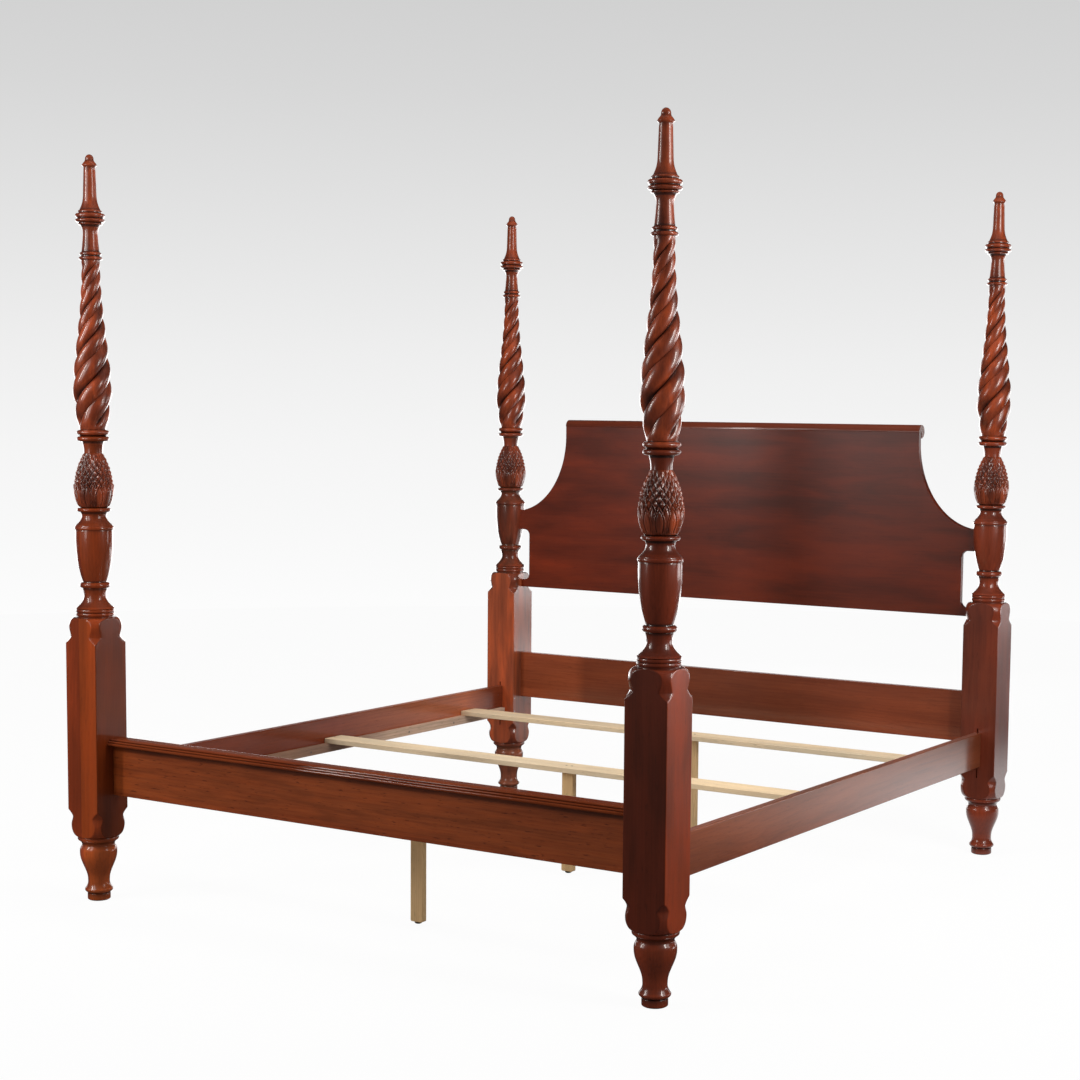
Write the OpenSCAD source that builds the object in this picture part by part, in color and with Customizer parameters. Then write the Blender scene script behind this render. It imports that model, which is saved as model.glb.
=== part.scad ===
// Four-poster bed for a king mattress: turned and carved posts with rope-twist
// shafts and pineapples, a shaped headboard with a rolled top, a low footboard
// with a reeded cap, hooked side rails, and three slats with centre legs.
// Millimetres. The floor is z = 0, X runs across the bed, +Y points to the head.

/* [Bed] */
// Distance between the left and the right post axes
post_span_x = 1991; // [1500:1:2100]
// Distance between the foot and the head post axes
post_span_y = 2184; // [1900:1:2350]

/* [Post] */
// Height of the turned foot under the square block
foot_h = 199; // [150:1:260]
// Height of the square block with its two ogee shoulders
block_h = 672; // [640:1:760]
// Width of the square block
block_w = 125.5; // [120:0.5:140]
// Height of the upper ogee shoulder
shoulder_h = 80; // [70:1:100]
// Height of the lower ogee shoulder
shoulder_low_h = 86; // [74:1:100]
// Largest radius of the upper shoulder's bulge
shoulder_r_top = 77.7; // [74:0.1:84]
// Largest radius of the lower shoulder's bulge
shoulder_r_low = 79; // [76:0.1:85]
// Radius of the turned foot at its swelling
foot_r = 55.6; // [48:0.1:60]
// Radius of the pad that stands on the floor
pad_r = 34.4; // [28:0.1:42]
// Height of the turned vase, from the block to the bead under the pineapple
vase_h = 334; // [300:1:380]
// Largest radius of the vase
vase_r = 56.2; // [50:0.1:60]
// Height of the carved pineapple
pineapple_h = 160; // [130:1:190]
// Largest radius of the pineapple
pineapple_r = 56.4; // [50:0.1:60]
// Number of leaves round the pineapple
leaf_count = 10; // [8:1:12]
// Height of the plain neck between the pineapple and the joint of the two post parts
neck_h = 53; // [45:1:70]

/* [Rope twist] */
// Length of the carved rope, from its lower to its upper beads
rope_h = 504; // [440:1:600]
// Largest radius over the strands
rope_r = 57.5; // [50:0.1:60]
// Radius over the strands at the lower end
rope_low_r = 38; // [34:0.1:44]
// Radius over the strands at the upper end
rope_high_r = 27.5; // [24:0.1:32]
// Height of the thickest place above the lower end of the rope
rope_belly_h = 123; // [90:1:180]
// Rise of a groove in half a turn at the lower end
rope_rise_low = 162.5; // [120:0.5:220]
// Rise of a groove in half a turn at the upper end
rope_rise_high = 80.4; // [60:0.1:110]
// Depth of the two deep grooves as a share of the radius there
deep_groove = 0.30; // [0.15:0.01:0.35]
// Depth of the two shallow grooves as a share of the radius there
shallow_groove = 0.17; // [0.08:0.01:0.25]
// Place of the shallow groove between two deep ones, as a share of half a turn
shallow_place = 0.48; // [0.4:0.01:0.6]

/* [Post top] */
// Height of the turned collar above the rope
collar_h = 122; // [105:1:150]
// Height of the finial
finial_h = 188; // [160:1:230]
// Radius of the round tenon under the finial
finial_tenon_r = 9.5; // [7:0.1:12]
// Length of the round tenon under the finial
finial_tenon_l = 32; // [20:1:45]
// Radius of the threaded stud that joins the two post parts
stud_r = 6; // [4:0.5:8]
// Length of that stud
stud_l = 110; // [70:1:140]

/* [Headboard] */
// Height of the lower edge of the headboard panel above the floor
panel_z = 818; // [810:1:840]
// Height of the headboard panel up to the axis of its roll
panel_h = 627.5; // [560:0.5:700]
// Thickness of the headboard panel
panel_t = 22; // [18:0.5:30]
// Width of the headboard panel at its top
panel_top_w = 1460; // [1300:1:1600]
// Height of the upper ear where it meets the post
ear_h = 73; // [60:1:90]
// Height of the upper ear's lower edge above the panel's lower edge
ear_z = 224; // [200:1:240]
// Height of the lower ear
low_ear_h = 28; // [22:1:40]
// Distance from the post axis to the inner side of the slot beside the panel
slot_reach = 97.5; // [85:0.5:130]
// Corner radius of that slot
slot_corner_r = 22; // [8:0.5:30]
// Half-height of the elliptical sweep at the panel's upper corner
sweep_h = 292; // [250:1:320]
// Half-width of that sweep
sweep_w = 230; // [200:1:250]
// Diameter of the roll along the headboard's top
roll_d = 47; // [36:0.5:60]
// Height of the underside of the lower head rail above the floor
head_rail_z = 384.5; // [330:0.5:430]
// Height of the lower head rail
head_rail_h = 175; // [120:1:190]

/* [Footboard] */
// Height of the underside of the footboard above the floor
foot_rail_z = 329; // [300:1:380]
// Height of the footboard below its cap
foot_rail_h = 154; // [110:1:180]
// Distance from the post axis in to the middle of the footboard
foot_rail_inset = 17; // [10:0.5:32]
// Depth of the footboard's cap, front to back
cap_w = 65; // [60:1:75]
// Thickness of the cap
cap_t = 21; // [18:0.5:26]
// Overhang of the cap in front of the footboard
cap_overhang = 25.5; // [18:0.5:30]
// Radius of one reed of the cap
reed_r = 4.3; // [3:0.1:4.6]
// Number of reeds
reed_count = 3; // [2:1:3]

/* [Rails] */
// Thickness of the footboard, the lower head rail and the side rails
rail_t = 25; // [20:0.5:30]
// Height of the underside of the side rails above the floor
side_rail_z = 311; // [285:1:340]
// Height of the side rails
side_rail_h = 117; // [100:1:140]
// Thickness of the tenons of the footboard and the lower head rail
tenon_t = 12; // [8:0.5:16]
// Length of those tenons
tenon_l = 22; // [15:1:24]
// Shoulder of those tenons, above and below
tenon_shoulder = 19; // [10:1:30]
// Distance from the post axis to the end of the panel's ears inside the post
ear_end = 26; // [22:0.5:30]

/* [Rail hooks] */
// Thickness of a hook plate
hook_t = 4; // [3:0.1:4.5]
// Width of the slot in the post that takes the hooks
hook_slot_w = 5; // [4.8:0.1:6]
// Depth of that slot
hook_slot_d = 24; // [22:0.5:30]
// Height of that slot
hook_slot_h = 171; // [150:1:190]
// Distance that the slot starts below the side rail
hook_slot_drop = 39; // [20:1:60]
// Height of a hook plate
hook_plate_h = 96; // [84:1:98]
// Depth of a hook plate in the end of the rail
hook_plate_l = 50; // [40:1:80]
// Reach of the hooks past the end of the rail
hook_reach = 19; // [17:0.5:21]
// Radius of the pins in the post that the hooks drop over
hook_pin_r = 3; // [2.5:0.1:3.5]
// Distance from the post's face in to those pins
hook_pin_in = 10; // [8:0.5:11]
// Distance between the upper and the lower pin
hook_pin_pitch = 51; // [42:1:56]
// Height of the lower pin above the underside of the side rail
hook_pin_z = 18; // [16:1:24]
// Clearance between a hook and its pin
hook_clearance = 0.3; // [0.2:0.05:0.5]

/* [Slats and centre legs] */
// Distance from the foot and the head post axes to the middle of the nearest slat
slat_inset = 295; // [150:1:400]
// Width of a slat
slat_w = 90; // [60:1:120]
// Thickness of a slat
slat_t = 17; // [14:0.5:25]
// Gap between a slat's end and the side rail
slat_end_gap = 1; // [0.5:0.1:4]
// Thickness of the ledger that carries the slats
ledger_t = 19; // [15:0.5:30]
// Height of the ledger
ledger_h = 30.5; // [20:0.5:40]
// Height of the ledger above the underside of the side rail
ledger_rise = 2.5; // [0:0.5:20]
// Gap between the ledger's end and the post
ledger_end_gap = 12; // [1:1:60]
// Width of a centre leg, across the bed
leg_w = 42; // [36:1:70]
// Thickness of a centre leg, along the bed
leg_t = 22; // [18:0.5:40]
// Distance of the centre legs from the middle of the bed
leg_offset = 10; // [0:1:40]
// Radius of the glide's round foot
glide_r = 11; // [8:0.1:14]
// Height of the glide's round foot
glide_h = 5; // [3:0.1:8]
// Radius of the glide's threaded stem
glide_stem_r = 3; // [2:0.1:3.5]
// Gap between a leg and its glide when that is screwed in
glide_rest_gap = 1; // [0.5:0.1:2]
// Distance from the glide, screwed in, down to the floor
glide_travel = 8; // [4:0.5:9]
// Clearance round the stem of a glide
glide_clearance = 0.3; // [0.2:0.05:0.5]

/* [Hidden] */
CORNERS = ["front_left", "front_right", "head_left", "head_right"];
ROWS = ["foot", "middle", "head"];

CHERRY = "#5c2318";
DARK_CHERRY = "#4a1b12";
PINE = "#dcc092";
STEEL = "#8d8f92";
NYLON = "#2b2927";

// Levels of the post, from the floor up
block_z = foot_h;
vase_z = block_z + block_h;
pineapple_z = vase_z + vase_h;
neck_z = pineapple_z + pineapple_h;
joint_z = neck_z + neck_h;
rope_z = joint_z + 18;
collar_z = rope_z + rope_h;
finial_z = collar_z + collar_h;

half_x = post_span_x / 2;
half_y = post_span_y / 2;
block_half = block_w / 2;
inner_x = half_x - block_half;
inner_y = half_y - block_half;
block_corner_r = block_half * sqrt(2) + 1;

// Side rails, ledgers and slats
rail_inner_x = half_x - rail_t / 2;
ledger_z = side_rail_z + ledger_rise;
slat_z = ledger_z + ledger_h;
slat_l = 2 * (rail_inner_x - slat_end_gap);
slat_count = len(ROWS);
slat_pitch = (post_span_y - 2 * slat_inset) / (slat_count - 1);
leg_ground_gap = glide_travel + glide_h + glide_rest_gap;
foot_rail_y = -half_y + foot_rail_inset;
cap_z = foot_rail_z + foot_rail_h;
panel_roll_z = panel_z + panel_h;
roll_y = half_y - panel_t / 2 + roll_d / 2;
roll_l = panel_top_w + 2;

// Curve resolution of turned pieces and of round hardware
TURN_FN = 64;
PIN_FN = 32;

// ---------------------------------------------------------------- outlines
// A turned outline is a list of [radius, height] points that run upward.

// Round bead of height h, centred on z, that swells from radius r to peak
function bead(z, h, r, peak, n = 6) =
    [for (i = [0:n]) [r + (peak - r) * sin(180 * i / n), z - h / 2 * cos(180 * i / n)]];

// Line from [r0, z0] to [r1, z1] that swells by bow, or is hollowed by -bow
function sweep_line(r0, z0, r1, z1, bow, n = 5) =
    [for (i = [0:n]) let (t = i / n)
        [r0 + (r1 - r0) * t + bow * sin(180 * t), z0 + (z1 - z0) * t]];

// S-curve that leaves [r0, z0] and reaches [r1, z1] upright
function ogee(r0, z0, r1, z1, n = 8) =
    [for (i = [0:n]) let (t = i / n)
        [r0 + (r1 - r0) * (1 - cos(180 * t)) / 2, z0 + (z1 - z0) * t]];

function distinct(pts) =
    [for (i = [0:len(pts) - 1]) if (i == 0 || norm(pts[i] - pts[max(i - 1, 0)]) > 0.2) pts[i]];

// Turned solid of an outline whose first and last points are closed to the axis
module turned(outline) {
    pts = distinct(outline);
    last = len(pts) - 1;
    rotate_extrude($fn = TURN_FN)
        polygon(concat([[0, pts[0][1]]], pts, [[0, pts[last][1]]]));
}

// Ogee shoulder of height h on the block: bulge, hollow and corner. It starts at
// the small end, at height z, and runs up or, with dir = -1, is listed from
// below. The bulge is widest at the given share of the height.
SHOULDER_HOLLOW = 0.73;
function shoulder(z, h, share, r_end, r_bulge, dir) = let (
    bulge = dir * share * h,
    hollow = dir * SHOULDER_HOLLOW * h,
    r_hollow = r_bulge - 4.5,
    pts = concat(
        [for (a = [0:15:90]) [r_end + (r_bulge - r_end) * sin(a), z + bulge * (1 - cos(a))]],
        ogee(r_bulge, z + bulge, r_hollow, z + hollow, 4),
        sweep_line(r_hollow, z + hollow, block_corner_r, z + dir * h, -2)))
    dir > 0 ? pts : [for (i = [len(pts) - 1:-1:0]) pts[i]];

// Turned foot: pad, sharp ring, tapering leg with a swelling, and a collar
function foot_outline() = concat(
    sweep_line(pad_r - 5, 0, pad_r, 5, 1.5, 3),
    [[pad_r, 21], [pad_r - 2, 23]],
    sweep_line(pad_r, 24, pad_r + 7.3, 31, 1.5, 3),
    sweep_line(pad_r + 7.3, 35, pad_r - 1.9, 63, -3.5),
    ogee(pad_r - 1.9, 63, foot_r, foot_h - 51),
    sweep_line(foot_r, foot_h - 51, foot_r - 7, foot_h - 27, 2.5),
    sweep_line(foot_r - 7, foot_h - 27, foot_r + 4.5, foot_h - 11, -3.5),
    bead(foot_h - 5.5, 10, foot_r + 4.2, foot_r + 6));

// Turned vase: two rings, cove, bead, vase with an edge bead, cove and bead
function vase_outline() = concat(
    [[vase_r - 2, vase_z], [vase_r - 2, vase_z + 3]],
    bead(vase_z + 9, 10, vase_r - 2, vase_r + 0.8),
    bead(vase_z + 20, 10, vase_r - 2, vase_r + 0.8),
    sweep_line(vase_r + 0.6, vase_z + 27, vase_r - 23.1, vase_z + 70, -7.5, 8),
    sweep_line(vase_r - 23.1, vase_z + 70, vase_r - 19.7, vase_z + 87, -0.8),
    bead(vase_z + 97, 17, vase_r - 20, vase_r - 11.7, 8),
    sweep_line(vase_r - 21, vase_z + 108, vase_r - 5.2, vase_z + 174, 1.8, 6),
    sweep_line(vase_r - 5.2, vase_z + 174, vase_r - 0.6, vase_z + 262, 1.9, 6),
    bead(vase_z + 270, 11, vase_r - 1, vase_r + 2.1),
    sweep_line(vase_r - 1.6, vase_z + 278, vase_r - 19.6, vase_z + 307, -4.5, 7),
    sweep_line(vase_r - 19.6, vase_z + 307, vase_r - 16, vase_z + 318, -0.5, 3),
    bead(vase_z + 324.5, 13, vase_r - 16.5, vase_r - 6.3, 8),
    [[pineapple_r - 13, pineapple_z]]);

// Neck over the pineapple, up to the joint inside the double bead
function neck_outline() = concat(
    sweep_line(pineapple_r - 29, neck_z - 2, pineapple_r - 24.4, joint_z - 18, -1.2, 6),
    bead(joint_z - 9.2, 15, pineapple_r - 18.5, pineapple_r - 8.4, 8),
    [[pineapple_r - 15, joint_z]]);

// Lower half of the double bead, from the joint up to the rope
function rope_base_outline() = concat(
    [[pineapple_r - 15, joint_z]],
    bead(joint_z + 9.4, 15, pineapple_r - 18, pineapple_r - 8.4, 8),
    [[rope_low_r - 1, rope_z]]);

// Collar over the rope: double bead, slender neck, ring and the first big bead
function collar_outline() = concat(
    [[rope_high_r + 0.5, collar_z - 1.4]],
    bead(collar_z + 4.2, 10.5, rope_high_r + 0.5, rope_high_r + 7),
    bead(collar_z + 17.8, 9, rope_high_r, rope_high_r + 4.2),
    sweep_line(rope_high_r - 1.2, collar_z + 24, rope_high_r - 5.6, collar_z + 74, -0.4),
    sweep_line(rope_high_r - 5.6, collar_z + 74, rope_high_r + 1, collar_z + 101, -2, 6),
    bead(collar_z + 106, 7, rope_high_r + 2.5, rope_high_r + 8.3),
    bead(collar_z + 115.5, 11, rope_high_r + 8.5, rope_high_r + 16),
    [[rope_high_r + 11, finial_z]]);

// Finial: big bead, ring, flared cone, sharp collar and round tip
function finial_outline() = concat(
    [[rope_high_r + 11, finial_z]],
    bead(finial_z + 8, 12.5, rope_high_r + 10.5, rope_high_r + 16),
    bead(finial_z + 19, 8, rope_high_r + 5.5, rope_high_r + 7.5),
    sweep_line(rope_high_r + 3, finial_z + 25, rope_high_r - 7.6, finial_z + 68, -2.8, 8),
    [[rope_high_r - 10.1, finial_h + finial_z - 42]],
    sweep_line(rope_high_r - 9.5, finial_h + finial_z - 39, rope_high_r - 5.4,
               finial_h + finial_z - 33, -0.8, 3),
    [[rope_high_r - 5.4, finial_h + finial_z - 31.5]],
    sweep_line(rope_high_r - 9.5, finial_h + finial_z - 25, rope_high_r - 15,
               finial_h + finial_z - 16, -1, 4),
    [for (a = [0:15:90])
        [(rope_high_r - 15) * cos(a), finial_h + finial_z - 14 + 14 * sin(a)]]);

// ------------------------------------------------------------ carved forms
// Tube of rings, bottom ring first, with flat ends; faces are triangles
module ring_solid(rings) {
    n = len(rings[0]);
    m = len(rings);
    pts = [for (ring = rings) each ring];
    sides = [for (j = [0:m - 2]) for (i = [0:n - 1]) let (k = (i + 1) % n)
        each [[j * n + i, (j + 1) * n + i, (j + 1) * n + k],
              [j * n + i, (j + 1) * n + k, j * n + k]]];
    ends = [[for (i = [0:n - 1]) i], [for (i = [n - 1:-1:0]) (m - 1) * n + i]];
    polyhedron(pts, concat(sides, ends), convexity = 4);
}

// Radius over the strands at height s above the lower end of the rope
function rope_radius(s) = s < rope_belly_h
    ? rope_low_r + (rope_r - rope_low_r) * (1 - pow(1 - s / rope_belly_h, 2))
    : rope_high_r + (rope_r - rope_high_r)
        * (1 + cos(180 * pow(min(1, (s - rope_belly_h) / (rope_h - rope_belly_h)), 0.8))) / 2;

// The rise of a half turn shrinks evenly from one end of the rope to the other,
// so the angle of a groove grows with the logarithm of that rise.
rope_start = -42;
function rope_rise(s) = rope_rise_low + (rope_rise_high - rope_rise_low) * s / rope_h;
function groove_angle(s) = rope_start
    + 180 * rope_h / (rope_rise_high - rope_rise_low) * ln(rope_rise(s) / rope_rise_low);

// The grooves run out to nothing at both ends of the rope
ROPE_FADE = 30;
function groove_fade(s) = let (t = max(0, min(1, min(s, rope_h - s) / ROPE_FADE)))
    t * t * (3 - 2 * t);

// Radius factor at share u of a strand, between groove depths d0 and d1. The
// strand is fuller, and its grooves narrower, the smaller the exponent.
STRAND_FULLNESS = 0.5;
function strand_shape(u, d0, d1) =
    1 - (d0 + (d1 - d0) * u) * (1 - pow(sin(180 * u), STRAND_FULLNESS));

STRAND_SIDES = 6;
ROPE_RINGS = 40;
function rope_ring(s) = [for (half = [0, 1]) for (part = [0, 1]) for (i = [0:STRAND_SIDES - 1]) let (
    u = i / STRAND_SIDES,
    share = part == 0 ? shallow_place * u : shallow_place + (1 - shallow_place) * u,
    d0 = part == 0 ? deep_groove : shallow_groove,
    d1 = part == 0 ? shallow_groove : deep_groove,
    fade = groove_fade(s),
    a = groove_angle(max(0, min(rope_h, s))) + 180 * half + 180 * share,
    r = rope_radius(max(0, min(rope_h, s))) * (1 + (strand_shape(u, d0, d1) - 1) * fade))
    [r * cos(a), r * sin(a), rope_z + s]];

// The rope's ends are drawn in and run on inside the beads below and above it
END_TUCK = 5;
module rope_twist() {
    low = [for (p = rope_ring(0)) [p[0] * 0.8, p[1] * 0.8, rope_z - END_TUCK]];
    high = [for (p = rope_ring(rope_h)) [p[0] * 0.8, p[1] * 0.8, collar_z + END_TUCK]];
    ring_solid(concat([low], [for (j = [0:ROPE_RINGS]) rope_ring(rope_h * j / ROPE_RINGS)], [high]));
}

// Radius of the pineapple's body at share t of its height
function pineapple_radius(t) = t < 0.34
    ? pineapple_r - 13.4 * pow(1 - t / 0.34, 2)
    : pineapple_r - 28.5 * pow((t - 0.34) / 0.66, 2.05);

// Leaves stand round the lower part, and rows of diamond scales cover the rest
LEAF_SHARE = 0.42;
LEAF_SIDES = 4;
LEAF_LEVELS = 6;
SCALE_LEVELS = 11;
LEAF_RELIEF = 2.6;
SCALE_RELIEF = 2.4;
leaf_turn = -8;
function leaf_ring(t) = [for (i = [0:leaf_count * LEAF_SIDES - 1]) let (
    step = i % LEAF_SIDES,
    groove = step == 0 ? 1 : step == 2 ? 0.15 : 0,
    a = leaf_turn + 360 * i / (leaf_count * LEAF_SIDES),
    r = pineapple_radius(t) - LEAF_RELIEF * groove * min(1, 3 * t / LEAF_SHARE))
    [r * cos(a), r * sin(a), pineapple_z + t * pineapple_h]];
function scale_ring(j) = [for (i = [0:leaf_count * LEAF_SIDES - 1]) let (
    t = LEAF_SHARE + (1 - LEAF_SHARE) * (j + 0.5) / SCALE_LEVELS,
    raised = (i + j) % 2 == 0,
    a = leaf_turn + 360 * i / (leaf_count * LEAF_SIDES),
    r = pineapple_radius(t) - (raised ? 0 : SCALE_RELIEF * pineapple_radius(t) / pineapple_r))
    [r * cos(a), r * sin(a), pineapple_z + t * pineapple_h]];
module pineapple() {
    low = [for (p = leaf_ring(0)) [p[0] * 0.85, p[1] * 0.85, pineapple_z - END_TUCK]];
    last = scale_ring(SCALE_LEVELS - 1);
    high = [for (p = last) [p[0] * 0.85, p[1] * 0.85, neck_z + END_TUCK / 2]];
    ring_solid(concat([low],
        [for (j = [0:LEAF_LEVELS]) leaf_ring(LEAF_SHARE * j / LEAF_LEVELS)],
        [for (j = [0:SCALE_LEVELS - 1]) scale_ring(j)], [high]));
}

// ------------------------------------------------------------------- posts
// Sides of a corner: left or right, foot or head
function side_x(corner) = (corner == "front_left" || corner == "head_left") ? -1 : 1;
function side_y(corner) = (corner == "front_left" || corner == "front_right") ? -1 : 1;

module at_post(corner) {
    translate([side_x(corner) * half_x, side_y(corner) * half_y, 0]) children();
}

// The bed's inside lies towards -X and -Y of the right-hand head post; the cuts
// are drawn for that post and flipped for the others. The carving is not.
module flipped(sx, sy) {
    mirror([sx < 0 ? 1 : 0, 0, 0]) mirror([0, sy < 0 ? 1 : 0, 0]) children();
}

// Foot, block, vase, pineapple and neck in one piece
module lower_post_wood() {
    intersection() {
        turned(concat(foot_outline(),
            shoulder(block_z, shoulder_low_h, 0.43, foot_r + 4.4, shoulder_r_low, 1),
            shoulder(vase_z, shoulder_h, 0.34, vase_r + 2.5, shoulder_r_top, -1),
            vase_outline()));
        translate([-block_half, -block_half, 0])
            cube([block_w, block_w, pineapple_z]);
    }
    pineapple();
    turned(neck_outline());
}

// Slot for the hooks in the block's inner face, and the two pins' holes
module hook_slot_cut() {
    translate([-hook_slot_w / 2, -block_half - 1, side_rail_z - hook_slot_drop])
        cube([hook_slot_w, hook_slot_d + 1, hook_slot_h]);
    for (z = hook_pin_levels())
        translate([-block_half, -block_half + hook_pin_in, z])
            rotate([0, 90, 0]) cylinder(r = hook_pin_r, h = hook_pin_l(), $fn = PIN_FN);
}

function hook_pin_levels() = [side_rail_z + hook_pin_z, side_rail_z + hook_pin_z + hook_pin_pitch];
function hook_pin_l() = block_half + hook_slot_w / 2 + 14;

// Mortises in a head post for the panel's two ears and the lower head rail
module head_mortises() {
    translate([-half_x, -half_y, 0]) panel_plank([[0, panel_roll_z]], panel_half(), [[0, panel_z]]);
    translate([-block_half - 1, -tenon_t / 2, head_rail_z + tenon_shoulder])
        cube([tenon_l + 1, tenon_t, head_rail_h - 2 * tenon_shoulder]);
}

// Mortise in a foot post for the footboard
module foot_mortise() {
    translate([-block_half - 1, -foot_rail_inset - tenon_t / 2, foot_rail_z + tenon_shoulder])
        cube([tenon_l + 1, tenon_t, foot_rail_h - 2 * tenon_shoulder]);
}

module lower_post(corner) {
    at_post(corner) color(CHERRY) difference() {
        lower_post_wood();
        flipped(side_x(corner), side_y(corner)) {
            hook_slot_cut();
            if (side_y(corner) > 0) head_mortises();
            else foot_mortise();
        }
        translate([0, 0, joint_z - stud_l / 2])
            cylinder(r = stud_r, h = stud_l, $fn = PIN_FN);
    }
}

// Rope-twist shaft with the beads below and the slender collar above
module upper_post(corner) {
    at_post(corner) color(CHERRY) difference() {
        union() {
            turned(rope_base_outline());
            rope_twist();
            turned(collar_outline());
        }
        translate([0, 0, joint_z - stud_l / 2])
            cylinder(r = stud_r, h = stud_l, $fn = PIN_FN);
        translate([0, 0, finial_z - finial_tenon_l])
            cylinder(r = finial_tenon_r, h = finial_tenon_l + 1, $fn = PIN_FN);
    }
}

module finial(corner) {
    at_post(corner) color(CHERRY) {
        turned(finial_outline());
        translate([0, 0, finial_z - finial_tenon_l])
            cylinder(r = finial_tenon_r, h = finial_tenon_l + 2, $fn = PIN_FN);
    }
}

module post_studs() {
    color(STEEL) for (corner = CORNERS) at_post(corner)
        translate([0, 0, joint_z - stud_l / 2])
            cylinder(r = stud_r, h = stud_l, $fn = PIN_FN);
}

// --------------------------------------------------------------- headboard
// Elliptical sweep from the panel's narrow top down to the upper ear
function sweep_points() = let (
    cx = panel_top_w / 2 + sweep_w,
    cz = panel_z + ear_z + ear_h + sweep_h)
    [for (a = [180:6:270]) [cx + sweep_w * cos(a), cz + sweep_h * sin(a)]];

// Slot between the panel and the post, with round corners on the panel's side
function slot_points() = let (
    x = half_x - slot_reach,
    z0 = panel_z + low_ear_h,
    z1 = panel_z + ear_z)
    concat(
        [for (a = [90:15:180]) [x + slot_corner_r + slot_corner_r * cos(a),
                               z1 - slot_corner_r + slot_corner_r * sin(a)]],
        [for (a = [180:15:270]) [x + slot_corner_r + slot_corner_r * cos(a),
                                z0 + slot_corner_r + slot_corner_r * sin(a)]]);

// Right half of the panel, clockwise from the middle of its top
function panel_half() = let (x_end = half_x - ear_end) concat(
    [[panel_top_w / 2, panel_roll_z]],
    sweep_points(),
    [[x_end, panel_z + ear_z + ear_h], [x_end, panel_z + ear_z]],
    slot_points(),
    [[x_end, panel_z + low_ear_h], [x_end, panel_z]]);

// Upright plank of the panel's thickness whose outline is three runs of points
module panel_plank(first, second, third) {
    translate([0, half_y + panel_t / 2, 0]) rotate([90, 0, 0])
        linear_extrude(panel_t) polygon(concat(first, second, third));
}

module headboard_panel() {
    right = panel_half();
    left = [for (i = [len(right) - 1:-1:0]) [-right[i][0], right[i][1]]];
    color(DARK_CHERRY) panel_plank(right, left, []);
}

// Roll along the top, with a rabbet that the panel's upper edge fills
module headboard_roll() {
    color(DARK_CHERRY) difference() {
        translate([-roll_l / 2, roll_y, panel_roll_z]) rotate([0, 90, 0])
            cylinder(d = roll_d, h = roll_l, $fn = TURN_FN);
        translate([-roll_l / 2 - 1, half_y - panel_t / 2 - 1, panel_roll_z - roll_d])
            cube([roll_l + 2, panel_t + 1, roll_d]);
    }
}

// Plank between two posts with a tenon at each end
module tenoned_rail(h) {
    translate([-inner_x, -rail_t / 2, 0]) cube([2 * inner_x, rail_t, h]);
    translate([-inner_x - tenon_l, -tenon_t / 2, tenon_shoulder])
        cube([2 * (inner_x + tenon_l), tenon_t, h - 2 * tenon_shoulder]);
}

module head_rail() {
    color(CHERRY) translate([0, half_y, head_rail_z]) tenoned_rail(head_rail_h);
}

// --------------------------------------------------------------- footboard
module footboard() {
    color(CHERRY) translate([0, foot_rail_y, foot_rail_z]) tenoned_rail(foot_rail_h);
}

// Cross-section of the cap: flat below, reeds up the slope of its front edge,
// and a rounded back edge. x runs from the nose back, y up from the underside.
CAP_BACK_R = 5;
REED_SLOPE = 45;
REED_STEP = 1.9;
REED_LIFT = 0.5;
function cap_front() = let (run = 2 * reed_r * reed_count * cos(REED_SLOPE))
    [for (i = [0:4]) let (t = i / 4)
        [run + (cap_w * 0.55 - run) * (1 - t), cap_t - (cap_t * 0.24) * t * t]];
module cap_section() {
    polygon(concat(
        [[reed_r, 0], [cap_w, 0]],
        [for (a = [0:15:90]) [cap_w - CAP_BACK_R + CAP_BACK_R * cos(a),
                              cap_t - CAP_BACK_R + CAP_BACK_R * sin(a)]],
        cap_front(),
        [[reed_r, reed_r + REED_LIFT]]));
    step = REED_STEP * reed_r;
    for (i = [0:reed_count - 1])
        translate([reed_r + i * step * cos(REED_SLOPE),
                   reed_r + REED_LIFT + i * step * sin(REED_SLOPE)])
            circle(r = reed_r, $fn = PIN_FN);
}

module footboard_cap() {
    nose_y = foot_rail_y - rail_t / 2 - cap_overhang;
    color(CHERRY) translate([-inner_x, nose_y, cap_z])
        rotate([90, 0, 90]) linear_extrude(2 * inner_x) cap_section();
}

// -------------------------------------------------------------- side rails
// Side rail on the +X side, with a kerf at each end for the hook plate
module side_rail() {
    color(CHERRY) difference() {
        translate([rail_inner_x, -inner_y, side_rail_z])
            cube([rail_t, 2 * inner_y, side_rail_h]);
        for (end = [-1, 1]) flipped(1, end) {
            translate([half_x - hook_t / 2, inner_y - hook_plate_l, hook_plate_z()])
                cube([hook_t, hook_plate_l + 1, hook_plate_h]);
            for (z = rivet_levels()) translate([rail_inner_x, inner_y - rivet_in(), z])
                rotate([0, 90, 0]) cylinder(r = RIVET_R, h = rivet_l(), $fn = PIN_FN);
        }
        ledger_screw_shapes();
    }
}

RIVET_R = 3;
function hook_plate_z() = side_rail_z + (side_rail_h - hook_plate_h) / 2;
function rivet_levels() = [hook_plate_z() + hook_plate_h * 0.25, hook_plate_z() + hook_plate_h * 0.75];
function rivet_in() = hook_plate_l * 0.6;
function rivet_l() = rail_t / 2 + hook_t / 2 + 4;

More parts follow.
